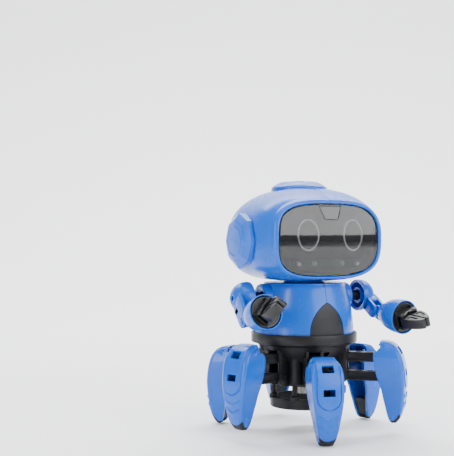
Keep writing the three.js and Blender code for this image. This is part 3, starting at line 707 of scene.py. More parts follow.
def build_torso():
    for side, sign in SIDES:
        half = torso_half(sign)
        half.name = f"torso_half_{side}"
        boolean(half, prism("arch_cut", belly_arch(0.22), -45, -8))
        boolean(half, cylinder("axle_cut", (sign * 15, 0, 82.5), (sign * 50, 0, 82.5), 3.5, 40))
        boolean(half, rounded_box("switch_cut", (-4.3, 20, 65.7), (4.3, 40, 70.3), 0.6))
        for x, z in ((17, 64), (17, 84)):
            boolean(half, cylinder("screw_cut", (sign * x, 22.5 if z > 80 else 25.6, z), (sign * x, 40, z),
                                   1.7, 24))
        bevel(half, 0.2, 2, 40)
        finish_piece(smooth(half, 35), BLUE, "chassis", "blue_gloss", f"torso_shell_{side}")

        axle = lathe("axle_peg", [
            (0, 21), (5.0, 21), (5.2, 21.2), (5.2, 23.4), (5.0, 23.6), (3.2, 23.6), (3.2, 46.6), (2.8, 47), (1.1, 47),
            (1.0, 46), (0, 46)], 40, axis="X")
        if sign < 0:
            transformed(axle, Matrix.Scale(-1, 4, (1, 0, 0)))
        transformed(axle, Matrix.Translation((0, 0, 82.5)))
        axle.name = f"axle_peg_{side}"
        finish_piece(smooth(axle), BLACK, "chassis", "black_satin", f"shoulder_axle_{side}")

        collar = lathe("collar", [
            (3.9, 25.0), (8.6, 25.0), (8.6, 29.6), (8.2, 30.6), (6.6, 31.0), (5.4, 30.7), (3.9, 29.6)], 48, axis="X")
        if sign < 0:
            transformed(collar, Matrix.Scale(-1, 4, (1, 0, 0)))
        transformed(collar, Matrix.Translation((0, 0, 82.5)))
        collar.name = f"shoulder_collar_{side}"
        finish_piece(smooth(collar, 30), BLUE, "chassis", "blue_gloss")

    plate = lathe("belly_skin", [(r - 0.15, z) for r, z in torso_profile()[:44]]
                  + [(r - 2.2, z) for r, z in reversed(torso_profile()[:44])], 192)
    boolean(plate, prism("arch_keep", belly_arch(-0.05), -45, -8), "INTERSECT")
    bevel(plate, 0.35, 3, 40)
    plate.name = "belly_arch_plate"
    finish_piece(smooth(plate, 35), BELLY, "chassis", "belly_black", "belly_plate")

    low, high = (Vector(c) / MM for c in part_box("power_switch"))
    knob = rounded_box("switch_knob", low, high, 0.4)
    ridges = [rounded_box("ridge", (x, high.y - 0.2, low.z + 0.3), (x + 0.35, high.y + 0.25, high.z - 0.3),
                          0.1)
              for x in (low.x + 0.8, low.x + 1.6, low.x + 2.4)]
    finish_piece(smooth(merge(knob, *ridges)), BLACK, "power_switch", "black_satin", "power_switch")
    build_battery()


def build_battery():
    """Holder with three round cells lying in it."""
    low, high = (Vector(c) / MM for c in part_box("battery_pack"))
    tray = rounded_box("battery_tray", low, (high.x, high.y, low.z + 4), 0.6)
    cells = []
    for k in range(3):
        y = low.y + 4.6 + 8.4 * k
        body = lathe("cell", [(0, 0), (4.0, 0), (4.1, 0.3), (4.1, 26.6), (3.8, 27), (1.6, 27), (1.5, 27.9),
                              (0, 28)], 32, axis="X")
        cells.append(transformed(body, Matrix.Translation((low.x + 1, y, low.z + 8.4))))
    cells = merge(cells[0], *cells[1:])
    cells.name = "battery_cells"
    finish_piece(smooth(tray), BLACK, "chassis", "pack_ivory", "battery_pack")
    finish_piece(smooth(cells), IVORY, "chassis", "pack_ivory")


# ------------------------------------------------------------------ arms
def joint_point(name):
    return Vector(JOINTS[name]["pos_m"]) / MM


def arm_frame(side):
    """Matrices of the upper arm, the forearm and the claw, read from the joints."""
    shoulder, elbow, seat = (joint_point(f"{j}_{side}") for j in ("shoulder", "elbow", "wrist"))
    along = Vector((0, elbow.y - shoulder.y, elbow.z - shoulder.z)).normalized()
    sign = 1 if side == "left" else -1
    out = Vector((sign, 0, 0))
    upper = Matrix((out, along, out.cross(along))).transposed().to_4x4()
    upper.translation = shoulder
    aim = Vector(JOINTS[f"wrist_{side}"]["axis"]).normalized()
    across = Vector((1, 0, 0)) - aim * aim.x
    across.normalize()
    forearm = Matrix((across, aim, across.cross(aim))).transposed().to_4x4()
    forearm.translation = elbow
    pins = Vector(JOINTS[f"finger_a_{side}"]["axis"]).normalized()
    claw = Matrix((aim.cross(pins), aim, pins)).transposed().to_4x4()
    claw.translation = seat
    return upper, forearm, claw


def upper_arm():
    """Shoulder cup with its hub, then a fork that holds the elbow. Local X points away from the torso."""
    cup_outer = arc((0, 0), 10.0, 0, 100, 30)
    cup_inner = arc((0, 0), 8.2, 98, 12, 24)
    profile = [(r, h) for h, r in cup_outer] + [(r, h) for h, r in cup_inner]
    profile = [(abs(r), h) for r, h in profile]
    profile[0] = (0.0, 10.0)
    hub = [(5.2, 6.3), (5.2, -0.8), (4.9, -1.1), (3.6, -1.1), (3.5, -0.8), (3.5, 7.2), (0, 7.2)]
    cup = lathe("cup", profile[:-1] + hub, 72, axis="X")
    boolean(cup, cylinder("screw", (6, 0, 0), (12, 0, 0), 1.7, 24))
    boolean(cup, cylinder("screw_seat", (9.2, 0, 0), (12, 0, 0), 3.0, 32))
    fork = []
    for x0, x1 in ((0.1, 2.3), (6.7, 8.9)):
        tine = prism("tine", [(7.0, -4.4), (17.5, -4.2)] + arc((17.5, 0), 4.2, -80, 80, 18) + [(17.5, 4.2), (7.0, 4.4)],
                     x0, x1, "YZ")
        fork.append(bevel(tine, 0.5, 3, 50))
    guard = prism("guard", [(3.0, 0.5), (17.5, 0.5), (21.9, 2.7), (21.6, 5.0), (20.2, 6.5), (17.5, 7.3),
                            (14.5, 8.0),
                            (11.0, 8.6), (6.0, 8.8), (3.0, 8.8)], 6.9, 9.3, "YZ")
    fork.append(bevel(guard, 1.0, 4, 30))
    web = prism("web", [(0.1, 6.6), (8.9, 4.4), (8.9, 11.0), (6.6, 11.6), (2.4, 11.6), (0.1, 11.0)], -4.0,
                4.0, "XY")
    fork.append(bevel(web, 0.6, 3, 50))
    rib = rounded_box("rib", (0.6, 8, -0.7), (8.4, 13.2, 0.7), 0.3)
    pin = lathe("pin", [(0, -0.3), (2.0, -0.3), (2.2, 0), (1.3, 0.05), (1.3, 8.9), (2.1, 9.0), (2.3, 9.3),
                        (1.6, 9.6), (0, 9.6)],
                28, axis="X", at=(0, 17.5, 0))
    return smooth(merge(cup, *fork, rib, pin), 38)


def forearm_cup():
    """Flared cup: a slim tail at the elbow, a round open mouth, an eye that sits in the fork."""
    outer = spline([(4.7, 5.2), (5.6, 6.6), (7.6, 10.2), (9.4, 14.6), (10.3, 19.5), (10.5, 25.0)], 36)
    profile = [(0, 4.6), (3.6, 4.6), (4.4, 4.8)] + [tuple(p) for p in outer] + arc((10.2, 25.0), 0.3, 30, 90, 3)
    profile += [(9.85, 25.2), (9.75, 24.9), (9.75, 20), (8.6, 15), (6.0, 11.5), (0, 11.5)]
    cup = lathe("cup", profile, 72, axis="Z")
    transformed(cup, Matrix.Rotation(math.radians(-90), 4, "X"))
    transformed(cup, Matrix.Scale(1, 4))
    boolean(cup, cylinder("screw", (5.5, 13, 0), (14, 13, 0), 1.5, 28))
    bevel(cup, 0.2, 2, 45)
    eye = prism("eye", [(0, -3.7)] + arc((0, 0), 3.7, 270, 90, 20) + [(0, 3.7), (6.4, 3.4), (6.4, -3.4)],
                -1.75, 1.75, "YZ")
    boolean(eye, cylinder("bore", (-5, 0, 0), (5, 0, 0), 1.5, 24))
    bevel(eye, 0.35, 2, 50)
    gussets = [rounded_box("gusset", (x, 1.5, -0.6), (x + 2.2, 7.5, 0.6), 0.3) for x in (1.4, -3.6)]
    return smooth(merge(cup, eye, *gussets), 38)


def claw_base():
    """Black disc in the cup's mouth with a palm, cheeks and two hinge pins."""
    disc = lathe("disc", [(0, -2.6), (9.0, -2.6), (9.3, -2.3), (9.3, -0.3), (9.0, 0.0), (8.0, 0.05),
                          (7.8, -0.25), (0, -0.25)],
                 72, axis="Y")
    stem = cylinder("stem", (0, -8, 0), (0, -2.5, 0), 3.0)
    palm = rounded_box("palm", (-3.3, -0.4, -4.3), (3.3, 3.0, 4.3), 0.5)
    boss = rounded_box("boss", (-1.7, 2.8, -1.9), (1.7, 3.6, 1.9), 0.3)
    parts = [stem, palm, boss]
    for z0, z1 in ((3.3, 4.8), (-4.8, -3.3)):
        outline = [(-6.7, -0.4), (6.7, -0.4), (6.7, 4.6)] + arc((4.4, 4.8), 2.3, 10, 90, 8) + \
                  [(0, 5.2)] + arc((-4.4, 4.8), 2.3, 90, 170, 8) + [(-6.7, 4.6)]
        parts.append(bevel(prism("cheek", outline, z0, z1, "XY"), 0.35, 2, 50))
    for sign in (1, -1):
        parts.append(lathe("pin", [(0, -5.1), (1.5, -5.1), (1.7, -4.8), (1.2, -4.7), (1.2, 4.7), (1.7, 4.8),
                                   (1.5, 5.1), (0, 5.1)],
                           20, at=(sign * 4.4, 5, 0)))
        parts.append(rounded_box("rib", (sign * 6.2 - 0.6, -0.2, -5.6), (sign * 6.2 + 0.6, 1.6, 5.6), 0.3))
    return smooth(merge(disc, *parts), 38)


def claw_finger(sign):
    """Wedge finger: flat gripping face with fine teeth, hollowed side, rounded knuckle."""
    grip = [(0.35 + (0.35 if k % 2 else 0.0), 8.6 + 1.05 * k) for k in range(11)]
    outline = [(0.35, 4.5), (2.4, 3.3)] + arc((4.4, 5.0), 2.1, -100, 10, 8) + \
        [(7.3, 8.2), (6.6, 12.0), (4.9, 16.2), (3.3, 19.0), (2.6, 19.7), (1.2, 19.9),
         (0.35, 19.6)] + grip[::-1]
    finger = prism("finger", outline, -3.0, 3.0, "XY")
    boolean(finger, cylinder("bore", (4.4, 5, -6), (4.4, 5, 6), 1.4, 24))
    for z0, z1 in ((2.3, 4.0), (-4.0, -2.3)):
        pocket = [(2.2, 8.6), (5.6, 8.8), (5.2, 11.6), (4.0, 15.0), (2.2, 15.6)]
        boolean(finger, prism("pocket", pocket, z0, z1, "XY"))
    bevel(finger, 0.22, 2, 45)
    if sign < 0:
        transformed(finger, Matrix.Scale(-1, 4, (1, 0, 0)))
    return smooth(finger, 35)


def build_arms():
    for side, _ in SIDES:
        upper, forearm, claw = arm_frame(side)
        arm = transformed(upper_arm(), upper)
        arm.name = f"arm_{side}"
        finish_piece(arm, BLUE, f"upper_arm_{side}", "blue_gloss", f"upper_arm_{side}")
        cup = transformed(forearm_cup(), forearm)
        cup.name = f"forearm_{side}"
        finish_piece(cup, BLUE, f"forearm_{side}", "blue_gloss", f"forearm_cup_{side}")
        base = transformed(claw_base(), claw)
        base.name = f"claw_{side}"
        finish_piece(base, CLAW, f"claw_{side}", "black_satin", f"claw_base_{side}")
        for letter, way in (("a", 1), ("b", -1)):
            finger = transformed(claw_finger(way), claw)
            finger.name = f"finger_{letter}_{side}"
            finish_piece(finger, CLAW, f"finger_{letter}_{side}", "black_satin",
                         f"claw_finger_{letter}_{side}")


# ------------------------------------------------------------------ legs
LEG = {"lift": 6.3, "pivot_out": 50.0, "upper": 46.2, "lower": 34.7, "link": 26.0}
LEG_BACK = [(48.3, 49.25), (48.55, 47.0), (48.5, 45.6), (47.6, 44.8), (46.0, 44.4), (44.9, 43.2),
            (44.5, 41.0), (45.1, 36),
            (46.4, 30), (47.9, 25), (49.3, 20.8), (50.2, 15.8), (51.2, 11.6), (52.0, 7.6), (53.0, 3.9), (54.1, 1.6), (55.6, 0.5)]
LEG_FACE = [(48.3, 49.3), (51.0, 49.2), (53.4, 48.8), (55.3, 48.0), (57.3, 46.4), (59.4, 43.6),
            (60.9, 39.9), (61.9, 36),
            (62.6, 31), (63.0, 25), (62.8, 19), (62.3, 13), (61.6, 8.6), (60.6, 5.4), (59.3, 2.9), (57.9, 1.2), (56.6, 0.5)]
SLOTS = ((44.0, 1.9), (31.2, 1.9))
SLOT_HALF = 3.5
SHOE = {"side_top": 6.0, "middle_top": 3.3}


def leg_width(z):
    """Half width of a leg at a height above its sole."""
    heights = [-1, 1, 3.7, 8.4, 13, 17.6, 22.3, 27, 32, 36, 41, 45, 47.2, 48.6, 49.5]
    halves = [3.9, 4.4, 5.2, 6.1, 6.9, 7.7, 8.5, 9.1, 9.45, 9.6, 9.6, 9.1, 8.5, 7.7, 6.8]
    return float(np.interp(z, heights, halves))


PANEL = {"half": 6.6, "foot_centre": 28.5, "rise": 0.62, "groove": 0.45}
CHEVRON = {"apexes": (15.6, 11.0), "slope": 0.5, "rise": 0.75, "length": 3.0}


def tongue(t, z):
    """Height of the raised panel on a leg's face: rounded foot, straight sides, then two chevron steps."""
    half, centre = PANEL["half"], PANEL["foot_centre"]
    reach = abs(t) if z > centre else math.hypot(t, centre - z)
    rise = PANEL["rise"] * float(np.clip((half - reach) / 0.35 + 0.5, 0, 1))
    edge = np.clip((reach - half - 0.1) / 0.2, 0, 1) * np.clip((half + 0.75 - reach) / 0.3, 0, 1)
    rise -= PANEL["groove"] * float(edge)
    inside = np.clip((leg_width(z) - 0.9 - abs(t)) / 0.5, 0, 1)
    for apex in CHEVRON["apexes"]:
        below = apex + CHEVRON["slope"] * abs(t) - z
        step = np.clip(below / 0.2, 0, 1) * np.clip(1 - below / CHEVRON["length"], 0, 1)
        rise += CHEVRON["rise"] * float(step * inside)
    return rise


def leg_stations():
    """Matching points of the face and the back edge from the top to the tip, with rows on the slot edges."""
    face, back = spline(LEG_FACE, 900), spline(LEG_BACK, 900)
    length = np.linspace(0, 1, 900)
    heights = np.maximum.accumulate(-face[:, 1])
    edges = [float(np.interp(-(z + s * half), heights, length)) for z, half in SLOTS for s in (1, -1)]
    steps = [s for s in np.linspace(0, 1, 120) if min(abs(s - e) for e in edges) > 0.004] + edges
    notch_end = int(np.argmin(np.abs(back[:, 1] - 44.2)))
    face_there = int(np.argmin(np.abs(face[:, 1] - 44.2)))
    stations = []
    for s in sorted(steps):
        f = np.array([np.interp(s, length, face[:, k]) for k in (0, 1)])
        ahead = np.array([np.interp(min(1, s + 0.004), length, face[:, k]) for k in (0, 1)])
        behind = np.array([np.interp(max(0, s - 0.004), length, face[:, k]) for k in (0, 1)])
        along = (ahead - behind) / np.linalg.norm(ahead - behind)
        normal = np.array([-along[1], along[0]])
        if s <= length[face_there]:
            b = back[int(notch_end * s / length[face_there])]
        else:
            b = np.array([np.interp(-f[1], -back[notch_end:, 1], back[notch_end:, 0]), f[1]])
        stations.append((f, normal, b))
    return stations


def leg_grid(raise_panel=True):
    """Points and faces of the leg's outer skin, wrapped from one cheek over the face to the other."""
    stations = leg_stations()
    radius, cheek, corner = 1.7, 14, 7
    verts, plan = [], []
    for f, normal, b in stations:
        half = leg_width(f[1])
        blend = min(1.0, np.linalg.norm(f - b) / 3.0)
        r = radius * blend
        line = []
        foot = f - normal * r
        for s in np.linspace(0, 1, cheek)[:-1]:
            spot = b + (foot - b) * s
            line.append((spot[0], leg_width(spot[1]) if s < 0.6 else half, spot[1]))
        for a in np.radians(np.linspace(0, 90, corner))[:-1]:
            spot = f - normal * r * (1 - math.sin(a))
            line.append((spot[0], half - r * (1 - math.cos(a)), spot[1]))
        wide = half - r
        side = list(line)
        face_line = []
        across = [-wide + (wide - SLOT_HALF) * k / 12 for k in range(12)] + \
                 [-SLOT_HALF + 2 * SLOT_HALF * k / 16 for k in range(17)] + \
                 [SLOT_HALF + (wide - SLOT_HALF) * (k + 1) / 12 for k in range(12)]
        if wide <= SLOT_HALF + 0.4:
            across = list(np.linspace(-wide, wide, 41))
        for y in reversed(across):
            lift = 0.35 * (1 - (y / half) ** 2) + (tongue(y, f[1]) if raise_panel else 0.0)
            spot = f + normal * lift
            face_line.append((spot[0], y, spot[1]))
        line = side + face_line + [(x, -y, z) for x, y, z in side[::-1]]
        verts += line
        plan.append((f[1], [y for _, y, _ in line]))
    return verts, plan, len(line), cheek - 1 + corner - 1


def leg_shell_mesh():
    """Open-backed leg: two leaf-shaped cheeks joined by a bowed face with panel, slots and chevrons."""
    verts, plan, columns, side = leg_grid()

    def keep(i, j):
        z = (plan[i][0] + plan[i + 1][0]) / 2
        y = (plan[i][1][j] + plan[i][1][j + 1]) / 2
        on_face = side <= j < columns - side - 1
        return not (on_face and abs(y) < SLOT_HALF and any(abs(z - c) < h for c, h in SLOTS))

    obj = new_object("leg_shell", verts, grid_faces(len(plan), columns, keep=keep))
    bm = bmesh.new()
    bm.from_mesh(obj.data)
    bmesh.ops.delete(bm, geom=[v for v in bm.verts if not v.link_faces], context="VERTS")
    bm.to_mesh(obj.data)
    bm.free()
    clean(obj, 0.005)
    middle = max(obj.data.polygons, key=lambda p: p.center.x)
    if middle.normal.x < 0:
        obj.data.flip_normals()
    thicken(obj, 1.6)
    boolean(obj, shoe_region(0.0), tolerant=True)
    bevel(obj, 0.14, 2, 50)
    return obj


def shoe_region(gap):
    """Volume outside the leg's tip band, up to the shoe's scooped top edge."""
    top = SHOE["side_top"] - gap
    outline = [(72, top), (59.3, top), (58.4, 4.4), (57.2, 2.7), (55.8, 1.9), (54.2, 2.1), (53.0, 2.6),
               (40, 2.6),
               (40, -5), (72, -5)]
    region = prism("shoe_region", outline, -14, 14, "XZ")
    scoop = [(-5.4, 12), (5.4, 12)] + [
        (y, SHOE["middle_top"] - gap + (SHOE["side_top"] - SHOE["middle_top"]) * (y / 5.4) ** 2)
        for y in np.linspace(5.4, -5.4, 19)]
    return boolean(region, prism("scoop", scoop, 57.2, 80, "YZ"))


def foot_pad_mesh():
    """Rubber shoe: a band around the tip with a scooped top edge, and a plug between the cheeks."""
    verts, plan, columns, _ = leg_grid(False)
    faces = grid_faces(len(plan), columns)
    rows = len(plan)
    faces += [(i * columns, (i + 1) * columns, (i + 2) * columns - 1,
               (i + 1) * columns - 1) for i in range(rows - 1)]
    faces += [tuple(range(columns)), tuple((rows - 1) * columns + k for k in reversed(range(columns)))]
    band = clean(new_object("band", verts, faces), 0.01)
    boolean(band, shoe_region(0.12), "INTERSECT")
    bevel(band, 0.3, 2, 50)
    levels = []
    for z in (1.7, 3.5, 6.0, 9.0, 12.2, 13.4):
        half = leg_width(z) - 1.75
        back = float(np.interp(z, [0, 1.6, 3.9, 7.6, 11.6, 15.8], [55.8, 54.9, 53.6, 52.5, 51.7, 50.7]))
        face = float(np.interp(z, [0, 1.1, 2.9, 5.4, 8.6, 13, 19], [56.0, 56.4, 57.4, 58.8, 59.8, 60.4,
                                                                    60.8]))
        levels += [(back, -half, z + 0.7 * (z > 12)), (face, -half, z), (face, half, z),
                   (back, half, z + 0.7 * (z > 12))]
    plug_faces = grid_faces(6, 4, wrap=True) + [(3, 2, 1, 0), (20, 21, 22, 23)]
    plug = bevel(clean(new_object("plug", levels, plug_faces)), 0.4, 2, 40)
    return smooth(merge(band, plug), 40)


def leg_hardware():
    """Pins and bosses inside the leg that carry the two link bars."""
    parts = []
    for z in (LEG["upper"] - LEG["lift"], LEG["lower"] - LEG["lift"]):
        half = leg_width(z) - 1.2
        parts.append(cylinder("pin", (LEG["pivot_out"], -half, z), (LEG["pivot_out"], half, z), 1.3, 24))
        for sign in (1, -1):
            parts.append(cylinder("boss", (LEG["pivot_out"], sign * 3.6, z), (LEG["pivot_out"], sign * half, z), 2.7, 32))
            parts.append(rounded_box("web", (LEG["pivot_out"], min(sign * 5.2, sign * 6.2), z - 0.7),
                                     (60.2, max(sign * 5.2, sign * 6.2), z + 0.7), 0.2))
    return merge(parts[0], *parts[1:])


def link_mesh():
    """Black bar with an eye at each end and a long recess in both faces."""
    half, radius, length = 3.2, 2.9, LEG["link"]
    outline = arc((0, 0), radius, 90, 270, 18) + arc((length, 0), radius, -90, 90, 18)
    bar = prism("bar", outline, -half, half, "XZ")
    for x in (0, length):
        boolean(bar, cylinder("bore", (x, -6, 0), (x, 6, 0), 1.5, 24))
    for y0, y1 in ((2.2, 5), (-5, -2.2)):
        recess = [(4.2, -1.7), (length - 4.2, -1.7), (length - 4.2, 1.7), (4.2, 1.7)]
        boolean(bar, prism("recess", recess, y0, y1, "XZ"))
    for x in (8.5, 15.5):
        boolean(bar, cuboid("pocket", (x, -1.7, 1.9), (x + 3.6, 1.7, 5)))
    return smooth(bevel(bar, 0.3, 2, 45), 35)


def build_legs():
    shell = leg_shell_mesh()
    shell = smooth(merge(shell, leg_hardware()), 34)
    pad, link = foot_pad_mesh(), link_mesh()
    for name in LEG_NAMES:
        inner = joint_point(f"lift_{name}")
        outer = joint_point(f"level_{name}")
        low_inner = joint_point(f"follow_{name}")
        turn = math.atan2(inner.y, inner.x)
        spin = Matrix.Rotation(turn, 4, "Z")
        lift = outer.z - (LEG["upper"] - LEG["lift"])
        shift = math.hypot(outer.x, outer.y) - LEG["pivot_out"]
        place = spin @ Matrix.Translation((shift, 0, lift))
        for source, label, material, node, slot_name in (
                (shell, "leg", BLUE, "leg_shell", "blue_gloss"), (pad, "foot", RUBBER, "foot_pad",
                                                                  "foot_rubber")):
            piece = transformed(copy_of(source, f"{label}_{name}"), place)
            finish_piece(piece, material, f"leg_{name}", slot_name, f"{node}_{name}")
        slope = math.asin((inner.z - outer.z) / LEG["link"])
        for label, start in (("upper", inner), ("lower", low_inner)):
            matrix = Matrix.Translation(start) @ spin @ Matrix.Rotation(slope, 4, "Y")
            piece = transformed(copy_of(link, f"{label}_bar_{name}"), matrix)
            finish_piece(piece, BLACK, f"{label}_link_{name}", "black_satin", f"{label}_link_{name}")
    for source in (shell, pad, link):
        bpy.data.objects.remove(source)


# ------------------------------------------------------------------ chassis
def leg_bearings():
    return [math.atan2(JOINTS[f"lift_{n}"]["pos_m"][1], JOINTS[f"lift_{n}"]["pos_m"][0]) for n in LEG_NAMES]


def post_bearings():
    """Directions of the hoop's posts: four of the six gaps between the legs."""
    return [leg_bearings()[2] + math.radians(30 + 60 * k) for k in (0, 2, 4, 5)]


def gear_point():
    return joint_point("drive_spin")


def build_tray():
    outer = [(16.5, 29.0), (21.1, 29.0), (21.4, 29.3), (21.4, 30.3), (21.1, 30.6), (17.2, 30.6),
             (16.5, 31.4), (16.5, 38.8),
             (16.9, 40.2), (18.4, 42.3), (22.6, 46.2), (26.4, 49.4), (27.8, 51.2), (28.5, 53.0), (29.2, 53.8), (32.0, 54.5),
             (32.7, 54.9), (32.9, 55.5), (32.9, 60.5), (32.7, 60.85), (32.3, 60.9), (31.8, 60.85), (31.6, 60.5),
             (31.6, 56.6), (20.0, 56.3), (15.2, 50), (14.4, 40.8)]
    tray = lathe("tray", [(14.4, 29.0), *outer], 160)
    inside = 3.5
    for turn in leg_bearings():
        pocket = cuboid("pocket", (20.6, -inside, 40), (40, inside, 50.3))
        boolean(tray, transformed(pocket, Matrix.Rotation(turn, 4, "Z")))
    opening = cuboid("opening", (20.6, -2.55, 46.5), (40, 2.55, 50.3))
    boolean(tray, transformed(opening, Matrix.Rotation(math.radians(1 - 90), 4, "Z")))
    bevel(tray, 0.2, 2, 40)
    parts = []
    for turn in leg_bearings():
        spin = Matrix.Rotation(turn, 4, "Z")
        for sign in (1, -1):
            y0, y1 = sorted((sign * inside, sign * (inside + 1.8)))
            outline = [(15.4, 29.3), (24.0, 29.3)] + arc((24.4, 33.3), 3.4, -75, 10, 6) + [(27.8, 37.5), (27.4, 41.0), (27.8, 44)] + \
                      [(27.8, 51.0), (15.4, 51.0)]
            cheek = bevel(prism("cheek", outline, y0, y1, "XZ"), 0.3, 2, 40)
            parts.append(transformed(cheek, spin))
        for z in (LEG["upper"], LEG["lower"]):
            pin = lathe("pin", [(0, -5.9), (1.9, -5.9), (2.1, -5.6), (2.1, -5.2), (1.3, -5.1), (1.3, 5.1),
                                (2.1, 5.2), (2.1, 5.6), (1.9, 5.9), (0, 5.9)],
                        24, axis="Y")
            parts.append(transformed(pin, spin @ Matrix.Translation((24, 0, z))))
    axle = gear_point()
    parts.append(cylinder("gear_axle", (axle.x, axle.y, 21.6), (axle.x, axle.y, 29.5), 1.6, 24))
    base = lathe("base_plate", [(2.0, 29.1), (14.6, 29.1), (14.6, 30.9), (2.0, 30.9)], 64)
    parts.append(base)
    for turn in post_bearings():
        big = abs(math.remainder(turn - math.radians(-45.8 - 90), 2 * math.pi)) < 0.1
        radius, top = (4.6, 50) if big else (2.9, 46)
        boss = lathe("boss", [(0, 29.6), (radius - 1.4, 29.6), (radius - 0.5, 30.0), (radius - 0.1, 30.8),
                              (radius, 32),
                              (radius, top), (0, top)], 48)
        parts.append(transformed(boss, Matrix.Translation((17.6 * math.cos(turn), 17.6 * math.sin(turn), 0))))
    obj = merge(tray, *parts)
    obj.name = "tray_body"
    finish_piece(smooth(obj, 36), BLACK, "chassis", "black_satin", "chassis_tray")


def build_hoop():
    ring = lathe("hoop", [(17.6, 15.1), (18.0, 14.7), (20.5, 14.7), (21.0, 15.2), (21.0, 20.5), (20.6, 21.0),
                          (18.0, 21.0), (17.6, 20.6)], 128)
    parts = []
    for turn in post_bearings():
        post = lathe("post", [(0, 20), (2.6, 20), (2.6, 22.6), (2.2, 23.0), (1.65, 23.4), (1.65, 28.7),
                              (0, 28.7)], 28)
        parts.append(transformed(post, Matrix.Translation((19.3 * math.cos(turn), 19.3 * math.sin(turn), 0))))
        socket = rounded_box("socket", (19.2, -2.3, 15.4), (21.6, 2.3, 22.2), 0.4)
        transformed(socket, Matrix.Translation((-0.7, 0, 0)))
        parts.append(transformed(socket, Matrix.Rotation(turn, 4, "Z")))
    obj = merge(ring, *parts)
    obj.name = "guard_hoop"
    finish_piece(smooth(obj, 36), BLACK, "chassis", "black_satin", "lower_hoop")


def gear_mesh(name, teeth, bore, first, low, high):
    """Spur gear with rounded straight teeth, a thin web and a hub."""
    module = 0.75
    pitch = module * teeth / 2
    tip, root = pitch + 0.7 * module, pitch - 1.1 * module
    outline = []
    for tooth in range(teeth):
        step = 2 * math.pi / teeth
        for radius, offset in ((root, -0.31), (tip - 0.1, -0.14), (tip, -0.09), (tip, 0.09),
                               (tip - 0.1, 0.14), (root, 0.31)):
            angle = first + step * (tooth + offset)
            outline.append((radius * math.cos(angle), radius * math.sin(angle)))
    gear = prism(name, outline, low, high, "XY")
    if teeth > 20:
        for z0, z1 in ((low - 1, low + 1.1), (high - 1.1, high + 1)):
            boolean(gear, lathe("web", [(3.6, z0), (root - 1.5, z0), (root - 1.5, z1), (3.6, z1)], 64))
    boolean(gear, cylinder("bore", (0, 0, low - 2), (0, 0, high + 2), bore, 32))
    return bevel(gear, 0.1, 1, 45)


def build_gears():
    centre = gear_point()
    facing = math.atan2(centre.y, centre.x)
    low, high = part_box("drive_gear")[0].z / MM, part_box("drive_gear")[1].z / MM
    pinion = gear_mesh("pinion_gear", 10, 1.25, facing, low, high)
    finish_piece(smooth(pinion, 30), IVORY, "motor_pinion", "gear_ivory", "motor_pinion")
    wheel = gear_mesh("wheel_gear", 30, 1.85, facing + math.pi + math.pi / 30, low, high)
    transformed(wheel, Matrix.Translation((centre.x, centre.y, 0)))
    finish_piece(smooth(wheel, 30), BLACK, "drive_gear", "gear_black", "drive_gear")
    can = lathe("motor_can", [
        (0, 22.4), (0.9, 22.4), (1.0, 22.6), (1.0, 40.4), (3.0, 40.4), (3.0, 41.3), (9.2, 41.3), (9.8, 41.8), (10.0, 42.6),
        (10.0, 53.4), (9.7, 53.8), (10.0, 54.2), (10.0, 56.4), (9.4, 57.2), (0, 57.2)], 72)
    finish_piece(smooth(can, 30), STEEL, "chassis", "motor_steel", "motor")


# ------------------------------------------------------------------ stage, light and camera
CAMERA = {"azimuth": -25.0, "elevation": -0.4, "distance": 647.2, "focal_px": 1034.4,
          "aim_side": -48.0, "aim_height": 125.3, "long_side_px": 456}


def soft_light(name, energy, size, at, aim, shape_y=None):
    data = bpy.data.lights.new(name, "AREA")
    data.energy = energy
    data.shape = "RECTANGLE"
    data.size = size * MM
    data.size_y = (shape_y or size) * MM
    obj = bpy.data.objects.new(name, data)
    bpy.context.scene.collection.objects.link(obj)
    at, aim = Vector(at), Vector(aim)
    obj.matrix_world = Matrix.Translation(at * MM) @ (aim - at).to_track_quat("-Z", "Y").to_matrix().to_4x4()
    return obj


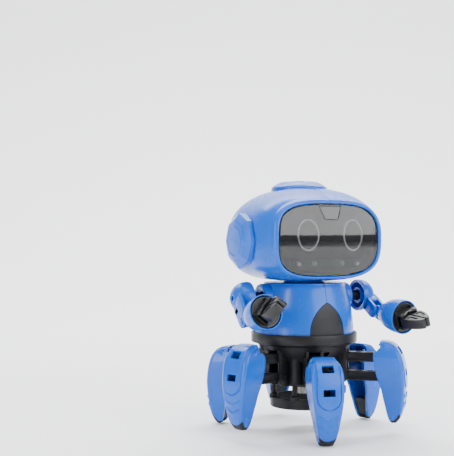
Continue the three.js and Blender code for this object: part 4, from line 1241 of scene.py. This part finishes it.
def build_stage():
    sweep = [(-3000, -0.2), (620, -0.2)] + [(620 + 500 * math.sin(t), 499.8 - 500 * math.cos(t))
                                            for t in np.radians(np.linspace(6, 90, 15))] + [(1120, 2600)]
    verts = [(x, y, z) for y, z in sweep for x in (-3500, 3500)]
    floor = smooth(new_object("floor", verts, grid_faces(len(sweep), 2)), 60)
    floor.data.transform(Matrix.Rotation(math.radians(CAMERA["azimuth"]), 4, "Z"))
    material = bpy.data.materials.new("floor_pale")
    material.use_nodes = True
    shader = material.node_tree.nodes["Principled BSDF"]
    shader.inputs["Base Color"].default_value = (0.95, 0.955, 0.96, 1)
    shader.inputs["Roughness"].default_value = 0.75
    floor.data.materials.append(material)

    world = bpy.data.worlds.new("studio")
    bpy.context.scene.world = world
    world.use_nodes = True
    background = world.node_tree.nodes["Background"]
    background.inputs["Color"].default_value = (0.96, 0.98, 1.0, 1)
    background.inputs["Strength"].default_value = 0.5

    soft_light("backdrop", 60.0, 2400, (340, 730, 1500), (420, 900, 200), 500)
    soft_light("overhead", 8.0, 900, (-100, -300, 1000), (0, 0, 90), 700)
    soft_light("visor_box", 9.0, 1000, (380, -815, 425), (0, 0, 130), 515)
    soft_light("left_strip", 4.0, 160, (-760, -240, 240), (0, 0, 110), 620)


def build_camera():
    turn, rise = math.radians(CAMERA["azimuth"]), math.radians(CAMERA["elevation"])
    back = Vector((math.sin(turn) * math.cos(rise), -math.cos(turn) * math.cos(rise), math.sin(rise)))
    right = Vector((math.cos(turn), math.sin(turn), 0))
    target = Vector((0, 0, CAMERA["aim_height"])) + right * CAMERA["aim_side"]
    data = bpy.data.cameras.new("camera")
    camera = bpy.data.objects.new("camera", data)
    bpy.context.scene.collection.objects.link(camera)
    data.sensor_width = 36
    data.lens = 36 * CAMERA["focal_px"] / CAMERA["long_side_px"]
    data.clip_start = 0.01
    at = (target + back * CAMERA["distance"]) * MM
    camera.matrix_world = Matrix.Translation(at) @ back.to_track_quat("Z", "Y").to_matrix().to_4x4()
    bpy.context.scene.camera = camera


build_camera()
build_stage()
build_head()
build_torso()
build_arms()
build_legs()
build_tray()
build_hoop()
build_gears()
